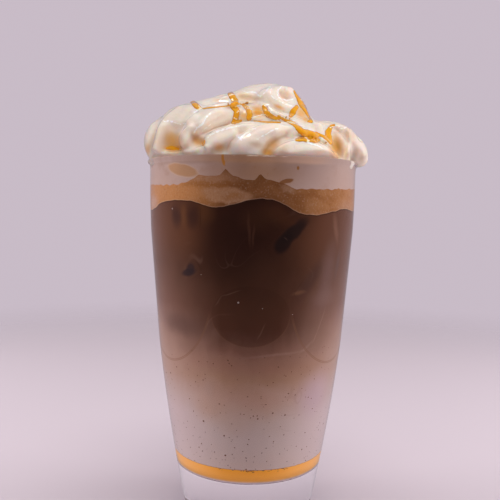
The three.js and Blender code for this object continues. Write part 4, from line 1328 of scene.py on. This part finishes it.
studio = {
    "floorRadius": 0.62, "floorFade": (0.98 * 0.62, 0.30), "floor": (0.50, 0.44, 0.49), "floorRoughness": 0.8,
    "floorSpecular": 0.1, "backdrop": (0.58, 0.50, 0.57), "front": (0.03, 0.026, 0.026),
    "behind": (0.36, 0.31, 0.35), "worldSpan": (-0.6, 1.0), "overhead": 1.3, "overheadAngle": 80,
    # place, target, width, height, watts, colour, seen in reflections, what it lights
    "lights": {
        "topSoftbox": ((0.05, -0.12, 0.72), (0, 0, 0.16), 0.35, 0.35, 2.3, (1.0, 0.96, 0.92), True, "drink"),
        "leftSoftbox": ((-0.55, 0.06, 0.20), (0, 0, 0.1), 0.25, 0.6, 3.0, (1.0, 0.95, 0.95), False, "drink"),
        "rightSoftbox": ((0.55, 0.06, 0.20), (0, 0, 0.1), 0.25, 0.6, 3.0, (1.0, 0.95, 0.95), False, "all"),
        "frontFill": ((0.0, -0.9, 0.35), (0, 0, 0.10), 0.5, 0.5, 0.4, (1.0, 0.96, 0.93), False, "all"),
        "creamKey": ((0.04, -0.42, 0.62), (0, 0, 0.16), 0.35, 0.35, 1.85, (1.0, 0.97, 0.94), False, "cream"),
        "creamFill": ((-0.06, -0.80, 0.06), (0, 0, 0.16), 0.5, 0.4, 1.6, (1.0, 0.96, 0.93), False, "cream"),
        "creamBack": ((-0.42, 0.34, 0.34), (0, 0, 0.16), 0.4, 0.4, 1.3, (1.0, 0.97, 0.94), False, "cream"),
        "creamGlint": ((-0.03, -0.09, 0.70), (0, 0, 0.16), 0.06, 0.05, 0.8, (1.0, 0.99, 0.97), True, "gloss"),
        "sauceFill": ((0.0, -0.50, 0.05), (0, 0, 0.025), 0.3, 0.2, 0.75, (1.0, 0.98, 0.96), False, "sauce"),
    },
    "distance": 277.5 * mm, "sideStep": -0.63 * mm, "height": 132.2 * mm,
    "lens": 47.52, "sensor": 36, "nearest": 10 * mm, "lookDown": 4.3, "roll": 0.95,
}


def buildWorld():
    # pale all round to look at, but as light it is pale behind the drink and dim in front of it
    world = bpy.data.worlds.new("studioWorld")
    bpy.context.scene.world = world
    world.use_nodes = True
    sky = Nodes(world.node_tree)
    back = sky.axes(sky.add("ShaderNodeTexCoord").outputs["Generated"])["Y"]
    glow = sky.mix(sky.span(back, *studio["worldSpan"]), studio["front"], studio["behind"])
    rays = sky.add("ShaderNodeLightPath").outputs
    looked = sky.math("MAXIMUM", rays["Is Camera Ray"], rays["Is Transmission Ray"])
    background = sky.tree.nodes["Background"].inputs
    sky.link(sky.mix(looked, glow, studio["backdrop"]), background["Color"])
    background["Strength"].default_value = 1.0


def buildFloor():
    deselectAll()
    bpy.ops.mesh.primitive_circle_add(vertices=96, radius=studio["floorRadius"], fill_type="NGON",
                                      location=(0, 0, 0))
    floor = bpy.context.object
    floor.name = "floor"
    # the floor fades into the backdrop before its edge, so there is no horizon
    paint = Finish("paleFloor")
    fade = paint.span(paint.length(paint.place), *studio["floorFade"])
    paint.set(Base_Color=studio["floor"], Roughness=studio["floorRoughness"], Alpha=fade,
              Specular_IOR_Level=studio["floorSpecular"])
    floor.data.materials.append(paint.material)
    floor.visible_glossy = False      # or its reflection turns the coffee grey


def groupOf(name, pieces, state="INCLUDE"):
    # what a lamp lights, or leaves out
    group = bpy.data.collections.new(name)
    for piece in pieces:
        group.objects.link(piece)
    for link in group.collection_objects:
        link.light_linking.link_state = state
    return group


def hangLamps():
    bpy.ops.object.light_add(type="SUN", location=(0, 0, 1))
    overhead = bpy.context.object
    overhead.name = "overhead"
    overhead.data.energy = studio["overhead"]
    overhead.data.angle = math.radians(studio["overheadAngle"])
    overhead.visible_glossy = overhead.visible_transmission = overhead.visible_camera = False
    # the topping has its own key, fill, back light and a small lamp that only adds a wet gleam,
    # the caramel on the floor of the glass has a fill, and two of the softboxes leave the topping out
    topping = groupOf("toppingLit", (heap, drizzle))
    cast = {"cream": topping, "gloss": topping, "drink": groupOf("toppingShaded", (heap, drizzle), "EXCLUDE"),
            "sauce": groupOf("sauceLit", (caramelPool,))}
    for name, (place, target, width, height, power, colour, reflected, lit) in studio["lights"].items():
        bpy.ops.object.light_add(type="AREA", location=place)
        lamp = bpy.context.object
        lamp.name = name
        lamp.data.shape = "RECTANGLE"
        lamp.data.size, lamp.data.size_y = width, height
        lamp.data.energy = power
        lamp.data.color = colour
        lamp.rotation_euler = (Vector(target) - Vector(place)).to_track_quat("-Z", "Y").to_euler()
        lamp.visible_camera = lamp.visible_transmission = False
        lamp.visible_glossy = reflected
        lamp.visible_diffuse = lit != "gloss"
        if lit != "all":
            lamp.light_linking.receiver_collection = cast[lit]


def setCamera():
    bpy.ops.object.camera_add(location=(0, 0, 0))
    camera = bpy.context.object
    camera.data.lens = studio["lens"]
    camera.data.sensor_width = studio["sensor"]
    camera.data.clip_start = studio["nearest"]
    camera.matrix_world = Matrix.Translation(eyePlace()) @ cameraTurn()
    bpy.context.scene.camera = camera
    bpy.context.scene.view_settings.view_transform = "Standard"


def dress(piece, finish, slot, *nodes):
    piece.data.materials.clear()
    piece.data.materials.append(finish)
    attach(piece, "root")
    if nodes:
        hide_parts(*nodes)


print("glass")
tumbler = makeGlass()
dress(tumbler, clearGlassFinish(), "clear_glass", "tumbler")

print("layers of the drink")
caramelPool = makeLayer("caramelPool", "floor", "caramelTop", 8)
dress(caramelPool, caramelSauceFinish(), "caramel", "caramel_layer")
milk = makeLayer("vanillaMilk", "caramelTop", "milkTop", 24)
dress(milk, latteFinish("vanillaMilk"), "milk", "milk_layer")
coffee = makeLayer("icedCoffee", "milkTop", "coffeeTop", 60)
dress(coffee, latteFinish("icedCoffee"), "coffee", "coffee_layer")
foam = makeLayer("coffeeFoam", "coffeeTop", "foamTop", 16)
dress(foam, coffeeFoamFinish(), "foam", "foam_layer")
plug = makeLayer("creamInGlass", "foamTop", "plugTop", 12)
dress(plug, sunkCreamFinish(), "cream")

print("ice, vanilla and bubbles")
dress(makeIce(), latteFinish("sunkIce"), "coffee")
dress(makeVanilla(), vanillaFinish(), "milk")
dress(makeBubbles(), bubbleFinish(), "foam")

print("whipped cream")
heap = makeCreamHeap()
dress(heap, whippedCreamFinish(), "cream", "whipped_cream")

print("caramel strings")
drizzle = makeStrings(heap)
dress(drizzle, caramelStringFinish(), "caramel")

print("studio")
buildFloor()
buildWorld()
hangLamps()
setCamera()
